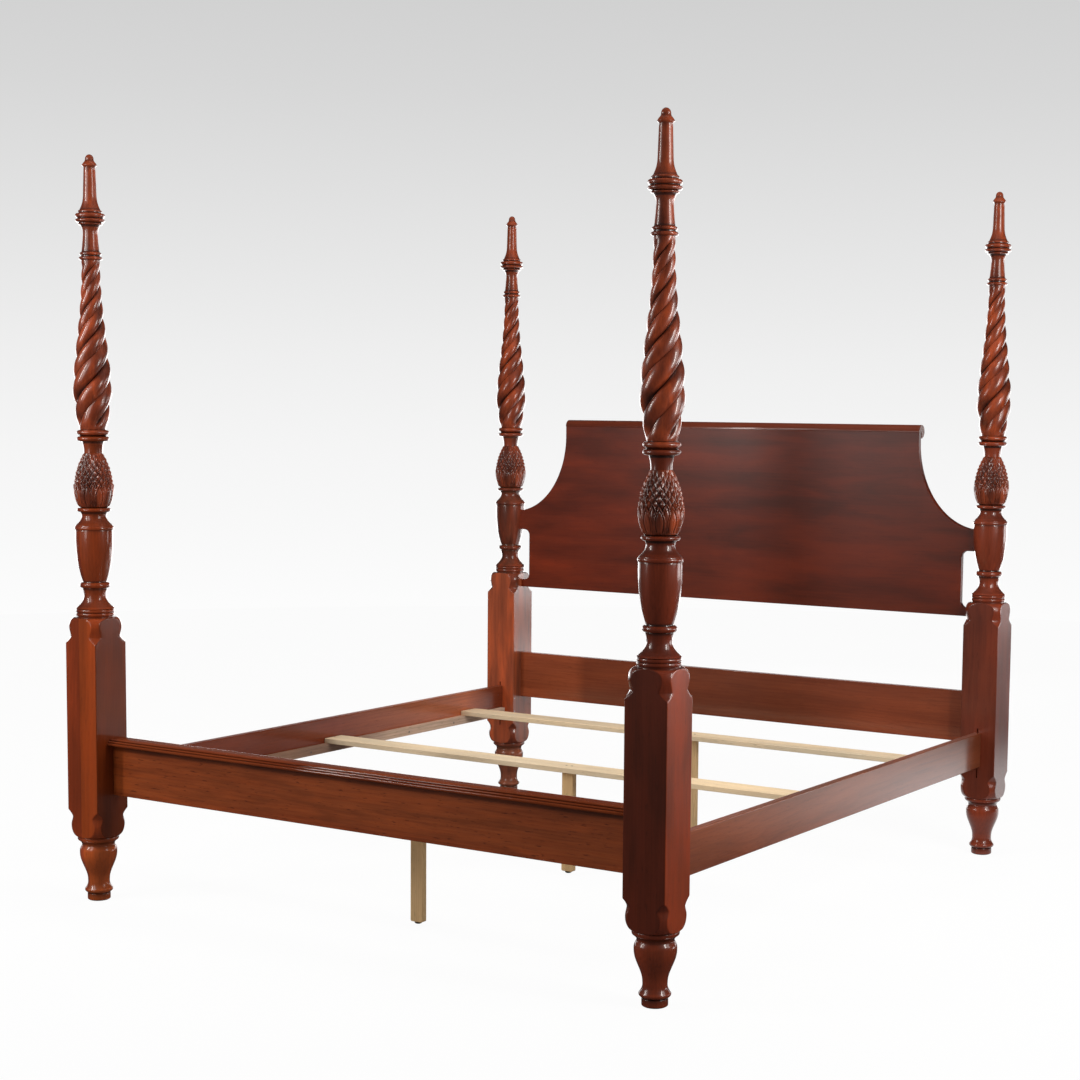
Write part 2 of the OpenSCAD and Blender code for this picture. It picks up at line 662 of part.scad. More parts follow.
// Plate with two hooks that open downward; drawn in the Y-Z plane at the head
module hook_plate() {
    throat = 2 * (hook_pin_r + hook_clearance);
    difference() {
        translate([half_x - hook_t / 2, 0, 0]) union() {
            translate([0, inner_y - hook_plate_l, hook_plate_z()])
                cube([hook_t, hook_plate_l, hook_plate_h]);
            for (z = hook_pin_levels())
                translate([0, inner_y, z - 8]) cube([hook_t, hook_reach, 22]);
        }
        for (z = hook_pin_levels()) {
            translate([half_x - hook_t, inner_y + hook_pin_in, z])
                rotate([0, 90, 0]) cylinder(d = throat, h = 2 * hook_t, $fn = PIN_FN);
            translate([half_x - hook_t, inner_y + hook_pin_in - throat / 2, z - 30])
                cube([2 * hook_t, throat, 30]);
        }
        for (z = rivet_levels())
            translate([half_x - hook_t, inner_y - rivet_in(), z])
                rotate([0, 90, 0]) cylinder(r = RIVET_R, h = 2 * hook_t, $fn = PIN_FN);
    }
}

module each_rail_end() {
    for (sx = [-1, 1]) for (sy = [-1, 1]) flipped(sx, sy) children();
}

module rail_hook_plates() {
    color(STEEL) each_rail_end() hook_plate();
}

module hook_plate_rivets() {
    color(STEEL) each_rail_end() for (z = rivet_levels())
        translate([rail_inner_x, inner_y - rivet_in(), z])
            rotate([0, 90, 0]) cylinder(r = RIVET_R, h = rivet_l(), $fn = PIN_FN);
}

module post_hook_pins() {
    color(STEEL) each_rail_end() for (z = hook_pin_levels())
        translate([half_x - block_half, inner_y + hook_pin_in, z])
            rotate([0, 90, 0]) cylinder(r = hook_pin_r, h = hook_pin_l(), $fn = PIN_FN);
}

// --------------------------------------------------------- ledgers, slats
SCREW_R = 2;
SCREW_HEAD_R = 4;
LEDGER_SCREWS = 8;
function ledger_l() = 2 * (inner_y - ledger_end_gap);
function ledger_screw_y(i) = (ledger_l() / 2 - 60) * (2 * i / (LEDGER_SCREWS - 1) - 1);

// Countersunk wood screw, head flush with z = 0, pointing down
module wood_screw(l) {
    rotate_extrude($fn = PIN_FN) polygon([
        [0, 0], [SCREW_HEAD_R, 0], [SCREW_HEAD_R, -0.6], [SCREW_R, -3],
        [SCREW_R, 3 - l], [0, -l]]);
}

// Screws through the ledger into the side rail, on the +X side
module at_ledger_screws() {
    for (i = [0:LEDGER_SCREWS - 1])
        translate([rail_inner_x - ledger_t, ledger_screw_y(i), ledger_z + ledger_h * 0.4])
            rotate([0, -90, 0]) children();
}

module ledger_screw_shapes() {
    at_ledger_screws() wood_screw(ledger_t + rail_t * 0.6);
}

module ledger() {
    color(CHERRY) difference() {
        translate([rail_inner_x - ledger_t, -ledger_l() / 2, ledger_z])
            cube([ledger_t, ledger_l(), ledger_h]);
        ledger_screw_shapes();
        for (i = [0:slat_count - 1]) at_slat_end_screws(i) wood_screw(SLAT_SCREW_L);
    }
}

module ledger_screws() {
    color(STEEL) for (sx = [-1, 1]) flipped(sx, 1) ledger_screw_shapes();
}

SLAT_SCREW_L = 38;
function slat_y(i) = (i - (slat_count - 1) / 2) * slat_pitch;

// The screw at a slat's +X end that holds it to the ledger
module at_slat_end_screws(i) {
    translate([rail_inner_x - ledger_t / 2, slat_y(i), slat_z + slat_t]) children();
}

module slat(i) {
    color(PINE) difference() {
        translate([-slat_l / 2, slat_y(i) - slat_w / 2, slat_z]) cube([slat_l, slat_w, slat_t]);
        for (sx = [-1, 1]) flipped(sx, 1) at_slat_end_screws(i) wood_screw(SLAT_SCREW_L);
        at_leg_screws(i) wood_screw(LEG_SCREW_L);
    }
}

module slat_screws() {
    color(STEEL) for (i = [0:slat_count - 1]) for (sx = [-1, 1]) flipped(sx, 1)
        at_slat_end_screws(i) wood_screw(SLAT_SCREW_L);
}

// ------------------------------------------------------------- centre legs
LEG_SCREW_L = 55;
LEG_EASE = 5;
BUSH_R = 5;
BUSH_L = 26;

module at_leg_screws(i) {
    for (s = [-1, 1]) translate([leg_offset + s * leg_w / 4, slat_y(i), slat_z + slat_t]) children();
}

// Leg with rounded corners at its lower end and a hole for the glide's bush
module centre_leg(i) {
    color(PINE) translate([leg_offset, slat_y(i), 0]) difference() {
        hull() {
            translate([-leg_w / 2, -leg_t / 2, slat_z - LEG_EASE])
                cube([leg_w, leg_t, LEG_EASE]);
            for (s = [-1, 1]) translate([s * (leg_w / 2 - LEG_EASE), leg_t / 2, leg_ground_gap + LEG_EASE])
                rotate([90, 0, 0]) cylinder(r = LEG_EASE, h = leg_t, $fn = PIN_FN);
        }
        translate([0, 0, leg_ground_gap - 1]) cylinder(r = BUSH_R, h = BUSH_L + 1, $fn = PIN_FN);
        translate([0, 0, leg_ground_gap])
            cylinder(r = glide_stem_r + glide_clearance, h = stem_room(), $fn = PIN_FN);
        translate([-leg_offset, -slat_y(i), 0]) at_leg_screws(i) wood_screw(LEG_SCREW_L);
    }
}

module leg_screws() {
    color(STEEL) for (i = [0:slat_count - 1]) at_leg_screws(i) wood_screw(LEG_SCREW_L);
}

// Threaded bush in the leg's end, flush with the wood
module glide_bush(i) {
    color(STEEL) translate([leg_offset, slat_y(i), leg_ground_gap]) difference() {
        cylinder(r = BUSH_R, h = BUSH_L, $fn = PIN_FN);
        translate([0, 0, -1])
            cylinder(r = glide_stem_r + glide_clearance, h = BUSH_L + 2, $fn = PIN_FN);
    }
}

function stem_l() = glide_rest_gap + BUSH_L + glide_travel;
function stem_room() = BUSH_L + glide_travel + 3;

// Glide with a domed foot, screwed into the leg as far as it goes
module leg_glide(i) {
    color(NYLON) translate([leg_offset, slat_y(i), glide_travel]) {
        rotate_extrude($fn = PIN_FN) polygon([
            [0, 0], [glide_r - 4, 0], [glide_r - 1.2, 0.32 * glide_h], [glide_r, 0.66 * glide_h],
            [glide_r, 0.9 * glide_h], [glide_r - 0.5, glide_h], [0, glide_h]]);
        translate([0, 0, glide_h / 2])
            cylinder(r = glide_stem_r, h = glide_h / 2 + stem_l(), $fn = PIN_FN);
    }
}

// ---------------------------------------------------------------- the bed
for (corner = CORNERS) {
    lower_post(corner);
    upper_post(corner);
    finial(corner);
}
post_studs();
headboard_panel();
headboard_roll();
head_rail();
footboard();
footboard_cap();
flipped(-1, 1) side_rail();  // side_rail_left
side_rail();  // side_rail_right
rail_hook_plates();
hook_plate_rivets();
post_hook_pins();
flipped(-1, 1) ledger();  // ledger_left
ledger();  // ledger_right
ledger_screws();
slat_screws();
leg_screws();
for (i = [0:slat_count - 1]) {
    slat(i);
    centre_leg(i);
    glide_bush(i);
    leg_glide(i);
}
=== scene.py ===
"""Looks of a carved four-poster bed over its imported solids, in the same frame.

The bed stands on z = 0. X runs across it and +Y points to the head. Shapes are
worked out in millimetres, as in the part's source, and turned into metres when
a mesh is made. The camera stands where the photograph was taken from.
"""
import math

import bmesh
import bpy
import numpy as np
from mathutils import Matrix, Vector

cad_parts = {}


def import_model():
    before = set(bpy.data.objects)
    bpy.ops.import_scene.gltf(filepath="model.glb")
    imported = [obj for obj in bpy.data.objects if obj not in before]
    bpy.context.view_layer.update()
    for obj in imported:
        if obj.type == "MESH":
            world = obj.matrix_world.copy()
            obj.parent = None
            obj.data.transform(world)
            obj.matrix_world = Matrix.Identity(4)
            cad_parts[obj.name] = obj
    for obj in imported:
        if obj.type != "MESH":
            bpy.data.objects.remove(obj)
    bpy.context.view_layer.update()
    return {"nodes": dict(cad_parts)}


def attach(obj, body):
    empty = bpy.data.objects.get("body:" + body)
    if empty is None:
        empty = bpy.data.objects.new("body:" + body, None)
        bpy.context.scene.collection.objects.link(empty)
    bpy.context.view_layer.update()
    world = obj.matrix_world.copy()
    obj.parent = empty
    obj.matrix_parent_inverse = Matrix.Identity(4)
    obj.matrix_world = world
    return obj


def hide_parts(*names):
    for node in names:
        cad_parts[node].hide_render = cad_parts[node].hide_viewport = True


MM = 0.001

# ------------------------------------------------------------ sizes, in mm
POST_SPAN_X = 1991.0
POST_SPAN_Y = 2184.0
FOOT_H = 199.0
BLOCK_H = 672.0
BLOCK_W = 125.5
SHOULDER_H = 80.0
SHOULDER_LOW_H = 86.0
SHOULDER_R_TOP = 77.7
SHOULDER_R_LOW = 79.0
FOOT_R = 55.6
PAD_R = 34.4
VASE_H = 334.0
VASE_R = 56.2
PINEAPPLE_H = 160.0
PINEAPPLE_R = 56.4
LEAF_COUNT = 10
NECK_H = 53.0
ROPE_H = 504.0
ROPE_R = 57.5
ROPE_LOW_R = 38.0
ROPE_HIGH_R = 27.5
ROPE_BELLY_H = 123.0
ROPE_RISE_LOW = 162.5
ROPE_RISE_HIGH = 80.4
DEEP_GROOVE = 0.30
SHALLOW_GROOVE = 0.17
SHALLOW_PLACE = 0.48
COLLAR_H = 122.0
FINIAL_H = 188.0
FINIAL_TENON_R = 9.5
FINIAL_TENON_L = 32.0
PANEL_Z = 818.0
PANEL_H = 627.5
PANEL_T = 22.0
PANEL_TOP_W = 1460.0
EAR_H = 73.0
EAR_Z = 224.0
LOW_EAR_H = 28.0
EAR_END = 26.0
SLOT_REACH = 97.5
SLOT_CORNER_R = 22.0
SWEEP_H = 292.0
SWEEP_W = 230.0
ROLL_D = 47.0
HEAD_RAIL_Z = 384.5
HEAD_RAIL_H = 175.0
FOOT_RAIL_Z = 329.0
FOOT_RAIL_H = 154.0
FOOT_RAIL_INSET = 17.0
CAP_W = 65.0
CAP_T = 21.0
CAP_OVERHANG = 25.5
REED_R = 4.3
REED_COUNT = 3
RAIL_T = 25.0
SIDE_RAIL_Z = 311.0
SIDE_RAIL_H = 117.0
TENON_T = 12.0
TENON_L = 22.0
TENON_SUNK = 4.0
TENON_SHOULDER = 19.0
HOOK_SLOT_W = 5.0
HOOK_SLOT_D = 24.0
HOOK_SLOT_H = 171.0
HOOK_SLOT_DROP = 39.0
HOOK_PIN_R = 3.0
HOOK_PIN_IN = 10.0
HOOK_PIN_PITCH = 51.0
HOOK_PIN_Z = 18.0
HOOK_PINS = 2
HOOK_PIN_PAST = 14.0
SLAT_INSET = 295.0
SLAT_W = 90.0
SLAT_T = 17.0
SLAT_END_GAP = 1.0
LEDGER_T = 19.0
LEDGER_H = 30.5
LEDGER_RISE = 2.5
LEDGER_END_GAP = 12.0
LEDGER_SCREWS = 8
LEDGER_SCREW_IN = 60.0
LEG_W = 42.0
LEG_T = 22.0
LEG_OFFSET = 10.0
GLIDE_R = 11.0
GLIDE_H = 5.0
GLIDE_CONTACT_R = 7.0
GLIDE_REST_GAP = 1.0
GLIDE_TRAVEL = 8.0
GLIDE_STEM_R = 3.0
THREAD_PITCH = 1.25
THREAD_DEPTH = 0.45
BUSH_L = 26.0
SCREW_HEAD_R = 4.0
SCREW_PROUD = 0.18
SCREW_DOME = 0.10
CROSS_HALF_W = 0.75
CROSS_REACH = 2.5
CROSS_DEPTH = 0.85
SCREW_RIM_SUNK = 0.25
ROPE_BASE_H = 18.0
ROLL_OVERHANG = 1.0
LEG_EASE = 5.0
TURNED_PAST = 1.0

BLOCK_Z = FOOT_H
VASE_Z = BLOCK_Z + BLOCK_H
PINEAPPLE_Z = VASE_Z + VASE_H
NECK_Z = PINEAPPLE_Z + PINEAPPLE_H
JOINT_Z = NECK_Z + NECK_H
ROPE_Z = JOINT_Z + ROPE_BASE_H
COLLAR_Z = ROPE_Z + ROPE_H
FINIAL_Z = COLLAR_Z + COLLAR_H
HALF_X = POST_SPAN_X / 2
HALF_Y = POST_SPAN_Y / 2
BLOCK_HALF = BLOCK_W / 2
INNER_X = HALF_X - BLOCK_HALF
INNER_Y = HALF_Y - BLOCK_HALF
BLOCK_CORNER_R = BLOCK_HALF * math.sqrt(2) + TURNED_PAST
RAIL_INNER_X = HALF_X - RAIL_T / 2
LEDGER_Z = SIDE_RAIL_Z + LEDGER_RISE
SLAT_Z = LEDGER_Z + LEDGER_H
LEG_GROUND_GAP = GLIDE_TRAVEL + GLIDE_H + GLIDE_REST_GAP
SLAT_L = 2 * (RAIL_INNER_X - SLAT_END_GAP)
FOOT_RAIL_Y = -HALF_Y + FOOT_RAIL_INSET
CAP_Z = FOOT_RAIL_Z + FOOT_RAIL_H
PANEL_ROLL_Z = PANEL_Z + PANEL_H
ROLL_Y = HALF_Y - PANEL_T / 2 + ROLL_D / 2
ROLL_L = PANEL_TOP_W + 2 * ROLL_OVERHANG
ROWS = ("foot", "middle", "head")
SLAT_PITCH = (POST_SPAN_Y - 2 * SLAT_INSET) / (len(ROWS) - 1)
CORNERS = {
    "front_left": (-1, -1),
    "front_right": (1, -1),
    "head_left": (-1, 1),
    "head_right": (1, 1),
}


# ---------------------------------------------------------------- outlines
# A turned outline is an array of [radius, height] that runs upward.
def spread(count):
    return np.linspace(0, 1, count + 1)


def steps(outline):
    """Distances from each point to the next."""
    return np.linalg.norm(np.diff(outline, axis=0), axis=1)


def arc(x, z, r, angles, upright_r=None):
    """Points on a circle, or on an ellipse with its own upright radius."""
    return np.stack([x + r * np.cos(angles), z + (upright_r or r) * np.sin(angles)], 1)


def bead(z, h, r, peak, n=14):
    t = math.pi * spread(n)
    return np.stack([r + (peak - r) * np.sin(t), z - h / 2 * np.cos(t)], 1)


def sweep_line(r0, z0, r1, z1, bow, n=14):
    t = spread(n)
    return np.stack([r0 + (r1 - r0) * t + bow * np.sin(math.pi * t), z0 + (z1 - z0) * t], 1)


def ogee(r0, z0, r1, z1, n=18):
    t = spread(n)
    return np.stack([r0 + (r1 - r0) * (1 - np.cos(math.pi * t)) / 2, z0 + (z1 - z0) * t], 1)


def joined(*runs, at=(0.0, 0.0)):
    """One outline from several runs moved by at, without its doubled points."""
    pts = np.concatenate([np.atleast_2d(np.array(r, float)) for r in runs])
    return pts[np.concatenate([[True], steps(pts) > 0.05])] + at


BULGE_SHARE_LOW = 0.43
BULGE_SHARE_TOP = 0.34
SHOULDER_HOLLOW = 4.5
SHOULDER_HOLLOW_SHARE = 0.73


def shoulder(z, h, share, r_end, r_bulge, direction):
    """A block's end: a bulge at a share of its height h, a hollow and the corner."""
    bulge = direction * share * h
    hollow = direction * SHOULDER_HOLLOW_SHARE * h
    r_hollow = r_bulge - SHOULDER_HOLLOW
    a = math.pi / 2 * spread(16)
    pts = joined(
        np.stack([r_end + (r_bulge - r_end) * np.sin(a), z + bulge * (1 - np.cos(a))], 1),
        ogee(r_bulge, z + bulge, r_hollow, z + hollow, 14),
        sweep_line(r_hollow, z + hollow, BLOCK_CORNER_R, z + direction * h, -2, 14),
    )
    return pts if direction > 0 else pts[::-1]


def foot_outline():
    return joined(
        sweep_line(PAD_R - 5, 0, PAD_R, 5, 1.5, 5),
        [[PAD_R, 20.6], [PAD_R - 0.5, 22], [PAD_R - 2, 23]],
        sweep_line(PAD_R, 24, PAD_R + 7.3, 31, 1.5, 8),
        [[PAD_R + 7.6, 33]],
        sweep_line(PAD_R + 7.3, 35, PAD_R - 1.9, 63, -3.5),
        ogee(PAD_R - 1.9, 63, FOOT_R, FOOT_H - 51, 28),
        sweep_line(FOOT_R, FOOT_H - 51, FOOT_R - 7, FOOT_H - 27, 2.5, 12),
        sweep_line(FOOT_R - 7, FOOT_H - 27, FOOT_R + 4.5, FOOT_H - 11, -3.5, 12),
        bead(FOOT_H - 5.5, 10, FOOT_R + 4.2, FOOT_R + 6),
        [[FOOT_R + 3.8, FOOT_H]],
    )


def vase_outline():
    return joined(
        [[-2, 0], [-2, 3]],
        bead(9, 10, -2, 0.8),
        bead(20, 10, -2, 0.8),
        sweep_line(0.6, 27, -23.1, 70, -7.5, 28),
        sweep_line(-23.1, 70, -19.7, 87, -0.8, 8),
        bead(97, 17, -20, -11.7, 18),
        sweep_line(-21, 108, -5.2, 174, 1.8, 26),
        sweep_line(-5.2, 174, -0.6, 262, 1.9, 30),
        bead(270, 11, -1, 2.1),
        sweep_line(-1.6, 278, -19.6, 307, -4.5, 18),
        sweep_line(-19.6, 307, -16, 318, -0.5, 6),
        bead(324.5, 13, -16.5, -6.3, 18),
        [[PINEAPPLE_R - 14 - VASE_R, VASE_H]],
        at=(VASE_R, VASE_Z),
    )


def neck_outline():
    return joined(
        sweep_line(-29, -NECK_H - 2, -24.4, -18, -1.2, 18),
        bead(-9.2, 15, -18.5, -8.4, 18),
        [[-15, 0]],
        at=(PINEAPPLE_R, JOINT_Z),
    )


def rope_base_outline():
    return joined(
        [[-15, 0]],
        bead(9.4, 15, -18, -8.4, 18),
        [[ROPE_LOW_R - 1 - PINEAPPLE_R, ROPE_BASE_H]],
        at=(PINEAPPLE_R, JOINT_Z),
    )


def collar_outline():
    return joined(
        [[0.5, -1.4]],
        bead(4.2, 10.5, 0.5, 7),
        bead(17.8, 9, 0, 4.2),
        sweep_line(-1.2, 24, -5.6, 74, -0.4, 20),
        sweep_line(-5.6, 74, 1, 101, -2, 14),
        bead(106, 7, 2.5, 8.3, 12),
        bead(115.5, 11, 8.5, 16, 16),
        [[11, COLLAR_H]],
        at=(ROPE_HIGH_R, COLLAR_Z),
    )


def finial_outline():
    top = FINIAL_H
    return joined(
        [[11, 0]],
        bead(8, 12.5, 10.5, 16, 16),
        bead(19, 8, 5.5, 7.5, 10),
        sweep_line(3, 25, -7.6, 68, -2.8, 20),
        sweep_line(-7.6, 68, -10.1, top - 42, 0, 12),
        sweep_line(-9.5, top - 39, -5.4, top - 33, -0.8, 6),
        [[-5.4, top - 31.5]],
        sweep_line(-9.5, top - 25, -15, top - 16, -1, 8),
        arc(-ROPE_HIGH_R, top - 14, ROPE_HIGH_R - 15, math.pi / 2 * spread(14), 14),
        at=(ROPE_HIGH_R, FINIAL_Z),
    )


# ------------------------------------------------------------- mesh making
# In the bake map: lengths of a band's closing fans and its gap to the next band,
# and the share of a strip that is left free along each edge
FIRST_FAN = 8.0
LAST_FAN = 10.0
BAND_GAP = 2.0
MAP_EDGE = 0.03


def turned(r, a, z):
    """Points (rows, columns, 3) at radius r, angle a and height z."""
    return np.stack([r * np.cos(a), r * np.sin(a), z + 0 * (r * a)], 2)


def full_turn(n):
    return 2 * math.pi * np.arange(n) / n


class Shell:
    """Bands of closed rings round the z axis that become one mesh.

    Every face keeps its place for the bake map: its share of the way round and
    its length along the outline. Recess is 0 on open wood and 1 deep in a cut.
    """

    def __init__(self, strips, length=0.0):
        self.strips = strips
        self.points, self.recess, self.faces, self.maps = [], [], [], []
        self.count = 0
        self.length = length

    def band(self, rings, angles, recess, pitch):
        """Adds rings (m, n, 3), their angles and recess, closed at both ends.

        pitch is the length along the outline from each ring to the next.
        """
        low, high = rings[:1].copy(), rings[-1:].copy()
        low[..., :2] = 0
        high[..., :2] = 0
        angles, recess = (np.broadcast_to(v, rings.shape[:2]) for v in (angles, recess))
        rings = np.concatenate([low, rings, high])
        angles = np.concatenate([angles[:1], angles, angles[-1:]])
        recess = np.concatenate([recess[:1], recess, recess[-1:]])
        m, n = rings.shape[:2]
        along = self.length + np.cumsum([0.0, FIRST_FAN, *pitch, LAST_FAN])
        self.length = along[-1] + BAND_GAP
        i = np.arange(n)
        j = np.arange(m - 1)[:, None]
        k = (i + 1) % n
        wrap = np.where(k == 0, 2 * math.pi, 0.0)
        corners = ((0, i, 0), (0, k, wrap), (1, k, wrap), (1, i, 0))
        uv = np.empty((m - 1, n, 4, 2))
        for c, (up, column, extra) in enumerate(corners):
            uv[:, :, c, 0] = angles[up:m - 1 + up, column] + extra
            uv[:, :, c, 1] = along[up:m - 1 + up, None]
        uv[..., 0] = (uv[..., 0] - angles.min()) / (2 * math.pi)
        quads = np.stack([self.count + (j + up) * n + column for up, column, _ in corners], 2)
        self.points.append(rings.reshape(-1, 3))
        self.recess.append(recess.reshape(-1))
        self.faces.append(quads.reshape(-1, 4))
        self.maps.append(uv.reshape(-1, 4, 2))
        self.count += m * n

    def turn(self, outline, n):
        """A band turned from an outline."""
        a = full_turn(n)
        self.band(turned(outline[:, :1], a, outline[:, 1:]), a, hollow(outline)[:, None],
                  steps(outline))

    def mesh(self, name):
        points = np.concatenate(self.points) * MM
        faces = np.concatenate(self.faces)
        me = bpy.data.meshes.new(name)
        me.vertices.add(len(points))
        me.vertices.foreach_set("co", points.astype(np.float32).ravel())
        me.loops.add(faces.size)
        me.loops.foreach_set("vertex_index", faces.astype(np.int32).ravel())
        me.polygons.add(len(faces))
        me.polygons.foreach_set("loop_start", (np.arange(len(faces)) * 4).astype(np.int32))
        me.update(calc_edges=True)
        layer = me.uv_layers.new(name="OFBake")
        layer.data.foreach_set("uv", self.placed().astype(np.float32).ravel())
        recess_layer(me, np.concatenate(self.recess))
        me.validate()
        return me

    def placed(self):
        """The faces' places in the bake map: the outline's length in several strips."""
        maps = np.concatenate(self.maps)
        height = self.length / self.strips
        strip = np.clip(np.floor(maps[:, :, 1].mean(1) / height), 0, self.strips - 1)[:, None]
        across, up = maps[..., 0], (maps[..., 1] - strip * height) / height
        open_share = 1 - 2 * MAP_EDGE
        return np.stack([(strip + MAP_EDGE + open_share * across) / self.strips,
                         MAP_EDGE + open_share * up], 2)


HOLLOW_REACH = 7.0
HOLLOW_DEPTH = 4.5


def hollow(outline):
    """How deep each point of an outline lies under what is turned beside it, 0 to 1.
    The wood is darkened by it there: glazing and painted shade.
    """
    r, z = outline[:, 0], outline[:, 1]
    out = np.zeros(len(r))
    for i in range(len(r)):
        near = r[np.abs(z - z[i]) < HOLLOW_REACH]
        out[i] = (near.mean() - r[i]) / HOLLOW_DEPTH + 0.25 * (near.max() - r[i]) / HOLLOW_DEPTH
    return np.clip(out, 0, 1)


def ramped(x, low, high):
    """0 below low, 1 above high and smooth in between."""
    t = np.clip((x - low) / (high - low), 0, 1)
    return t * t * (3 - 2 * t)


def smooth_min(a, b, k):
    h = np.clip(0.5 + 0.5 * (b - a) / k, 0, 1)
    return b + (a - b) * h - k * h * (1 - h)


def add_object(name, data, place=(0, 0, 0)):
    """A new object of the scene, its place in mm."""
    ob = bpy.data.objects.new(name, data)
    ob.location = Vector(place) * MM
    bpy.context.scene.collection.objects.link(ob)
    return ob


def recess_layer(mesh, values):
    """Keeps how deep in the carving each point lies, for the darkening of the cuts: glazing and painted
    shade.
    """
    layer = mesh.attributes.new("recess", "FLOAT", "POINT")
    layer.data.foreach_set("value", np.broadcast_to(values, len(mesh.vertices)).astype(np.float32))


SQUARE_ON = 0.999


def shade(mesh, angle, flat_sides=False):
    """Smooth faces with the sharp edges kept, and upright and level sides kept flat."""
    smooth = np.ones(len(mesh.polygons), bool)
    mesh.polygons.foreach_set("use_smooth", smooth)
    mesh.set_sharp_from_angle(angle=math.radians(angle))
    if flat_sides:
        normals = np.array([p.normal for p in mesh.polygons])
        smooth = np.abs(normals).max(1) < SQUARE_ON
        mesh.polygons.foreach_set("use_smooth", smooth)


# --------------------------------------------------------- the square block
EDGE_EASE = 1.3
EDGE_K = 1.6
CORNER_K = 3.4
# how much the shoulders' hollows are darkened: glazing and painted shade
BLOCK_RECESS = 0.6


def block_ring(r, z):
    """Ring of the post's block: the turned radius, cut flat on four sides.

    The columns gather where the turned and the flat surface meet.
    """
    ease = EDGE_EASE / r
    meet = math.acos(BLOCK_HALF / r) if r > BLOCK_HALF else 0.0
    meet = min(max(meet, ease), math.pi / 4 - ease)
    flat = np.linspace(0, meet - ease, 10)[:-1]
    edge = np.linspace(meet - ease, meet + ease, 6)[:-1]
    round_part = np.linspace(meet + ease, math.pi / 4, 8)
    half = np.concatenate([flat, edge, round_part])
    quarter = np.concatenate([-half[::-1][:-1], half[:-1]])
    a = np.concatenate([quarter + q * math.pi / 2 for q in range(4)])
    c, s = np.abs(np.cos(a)), np.abs(np.sin(a))
    sides = smooth_min(BLOCK_HALF / np.maximum(c, 1e-6), BLOCK_HALF / np.maximum(s, 1e-6), CORNER_K)
    radius = smooth_min(np.full_like(a, r), sides, EDGE_K)
    return np.stack([radius * np.cos(a), radius * np.sin(a), np.full_like(a, z)], 1), a


def block_band(shell):
    outline = joined(
        shoulder(BLOCK_Z, SHOULDER_LOW_H, BULGE_SHARE_LOW, FOOT_R + 4.4, SHOULDER_R_LOW, 1),
        shoulder(VASE_Z, SHOULDER_H, BULGE_SHARE_TOP, VASE_R + 2.5, SHOULDER_R_TOP, -1),
    )
    rings, angles = (np.array(v) for v in zip(*[block_ring(r, z) for r, z in outline]))
    reach = np.linalg.norm(rings[..., :2], axis=2)
    on_turned = ramped(reach, outline[:, :1] - 2.0, outline[:, :1] - 0.5)
    recess = hollow(outline)[:, None] * on_turned * BLOCK_RECESS
    shell.band(rings, angles, recess, steps(outline))


# ------------------------------------------------------------ the pineapple
LEAF_SHARE = 0.42
LEAF_TURN = math.radians(-8.8)
LEAF_W = 0.43
BACK_LEAF = 1.17
BACK_LEAF_W = 0.40
BACK_LEAF_DROP = 1.5
PINE_COLUMNS = 600
PINE_ROWS = 150
SCALES_ROUND = 19
SCALE_ROWS = 4.3
SCALE_FOOT = 0.30
WIDEST_SHARE = 0.34
LEAF_WIDEST = 0.42
LEAF_FOOT = 0.79
LEAF_FALL = 4.6
LEAF_PROUD = 2.0
LEAF_SWELL = 1.3
LEAF_TIP_LIFT = 1.6
BORDER_H = 0.9
LINE_IN = 0.125
LINE_W = 0.032
LINE_DEPTH = 1.7
MIDRIB_W = 0.018
MIDRIB_DEPTH = 0.5
SCALE_FALL = 3.6
SCALE_H = 3.4
KEEL_W = 0.15
KEEL_H = 0.7
TIP_H = 2.1
TIP_RISE = 0.13
PINE_DRAWN_LOW = 13.4
PINE_DRAWN_TOP = 28.5


def pineapple_radius(t):
    low = PINE_DRAWN_LOW * np.clip(1 - t / WIDEST_SHARE, 0, 1) ** 2
    high = PINE_DRAWN_TOP * np.clip((t - WIDEST_SHARE) / (1 - WIDEST_SHARE), 0, 1) ** 2.05
    return PINEAPPLE_R - np.where(t < WIDEST_SHARE, low, high)


def leaf_relief(across, up, width):
    """Relief and cut lines of a pointed leaf: raised border, field and fine midrib.

    across is the distance from the leaf's middle in leaf pitches, up runs from
    0 at its foot to 1 at its tip. Outside the leaf it falls away steeply.
    """
    v = np.clip(up, 0, 1.2)
    foot = LEAF_FOOT + (1 - LEAF_FOOT) * np.sin(math.pi / 2 * np.clip(v / LEAF_WIDEST, 0, 1))
    point = np.clip((v - LEAF_WIDEST) / (1 - LEAF_WIDEST), 0, 1)
    tip = np.clip(1 - point ** 1.75, 0, 1) ** 0.85
    inside = width * foot * tip - np.abs(across)
    edge = ramped(inside, -0.028, 0.03)
    line = np.exp(-((inside - LINE_IN) / LINE_W) ** 2)
    middle = np.exp(-(across / MIDRIB_W) ** 2) * ramped(1 - v, 0.18, 0.4)
    field = LEAF_SWELL * ramped(inside, 0.13, 0.34) - BORDER_H * ramped(inside, 0.07, 0.11)
    relief = -LEAF_FALL + (LEAF_FALL + LEAF_PROUD) * edge + field
    relief = relief - (LINE_DEPTH * line + MIDRIB_DEPTH * middle) * edge
    relief = relief + LEAF_TIP_LIFT * np.clip(v, 0, 1) ** 4 * edge
    return relief, np.clip(line + 0.4 * middle, 0, 1) * edge


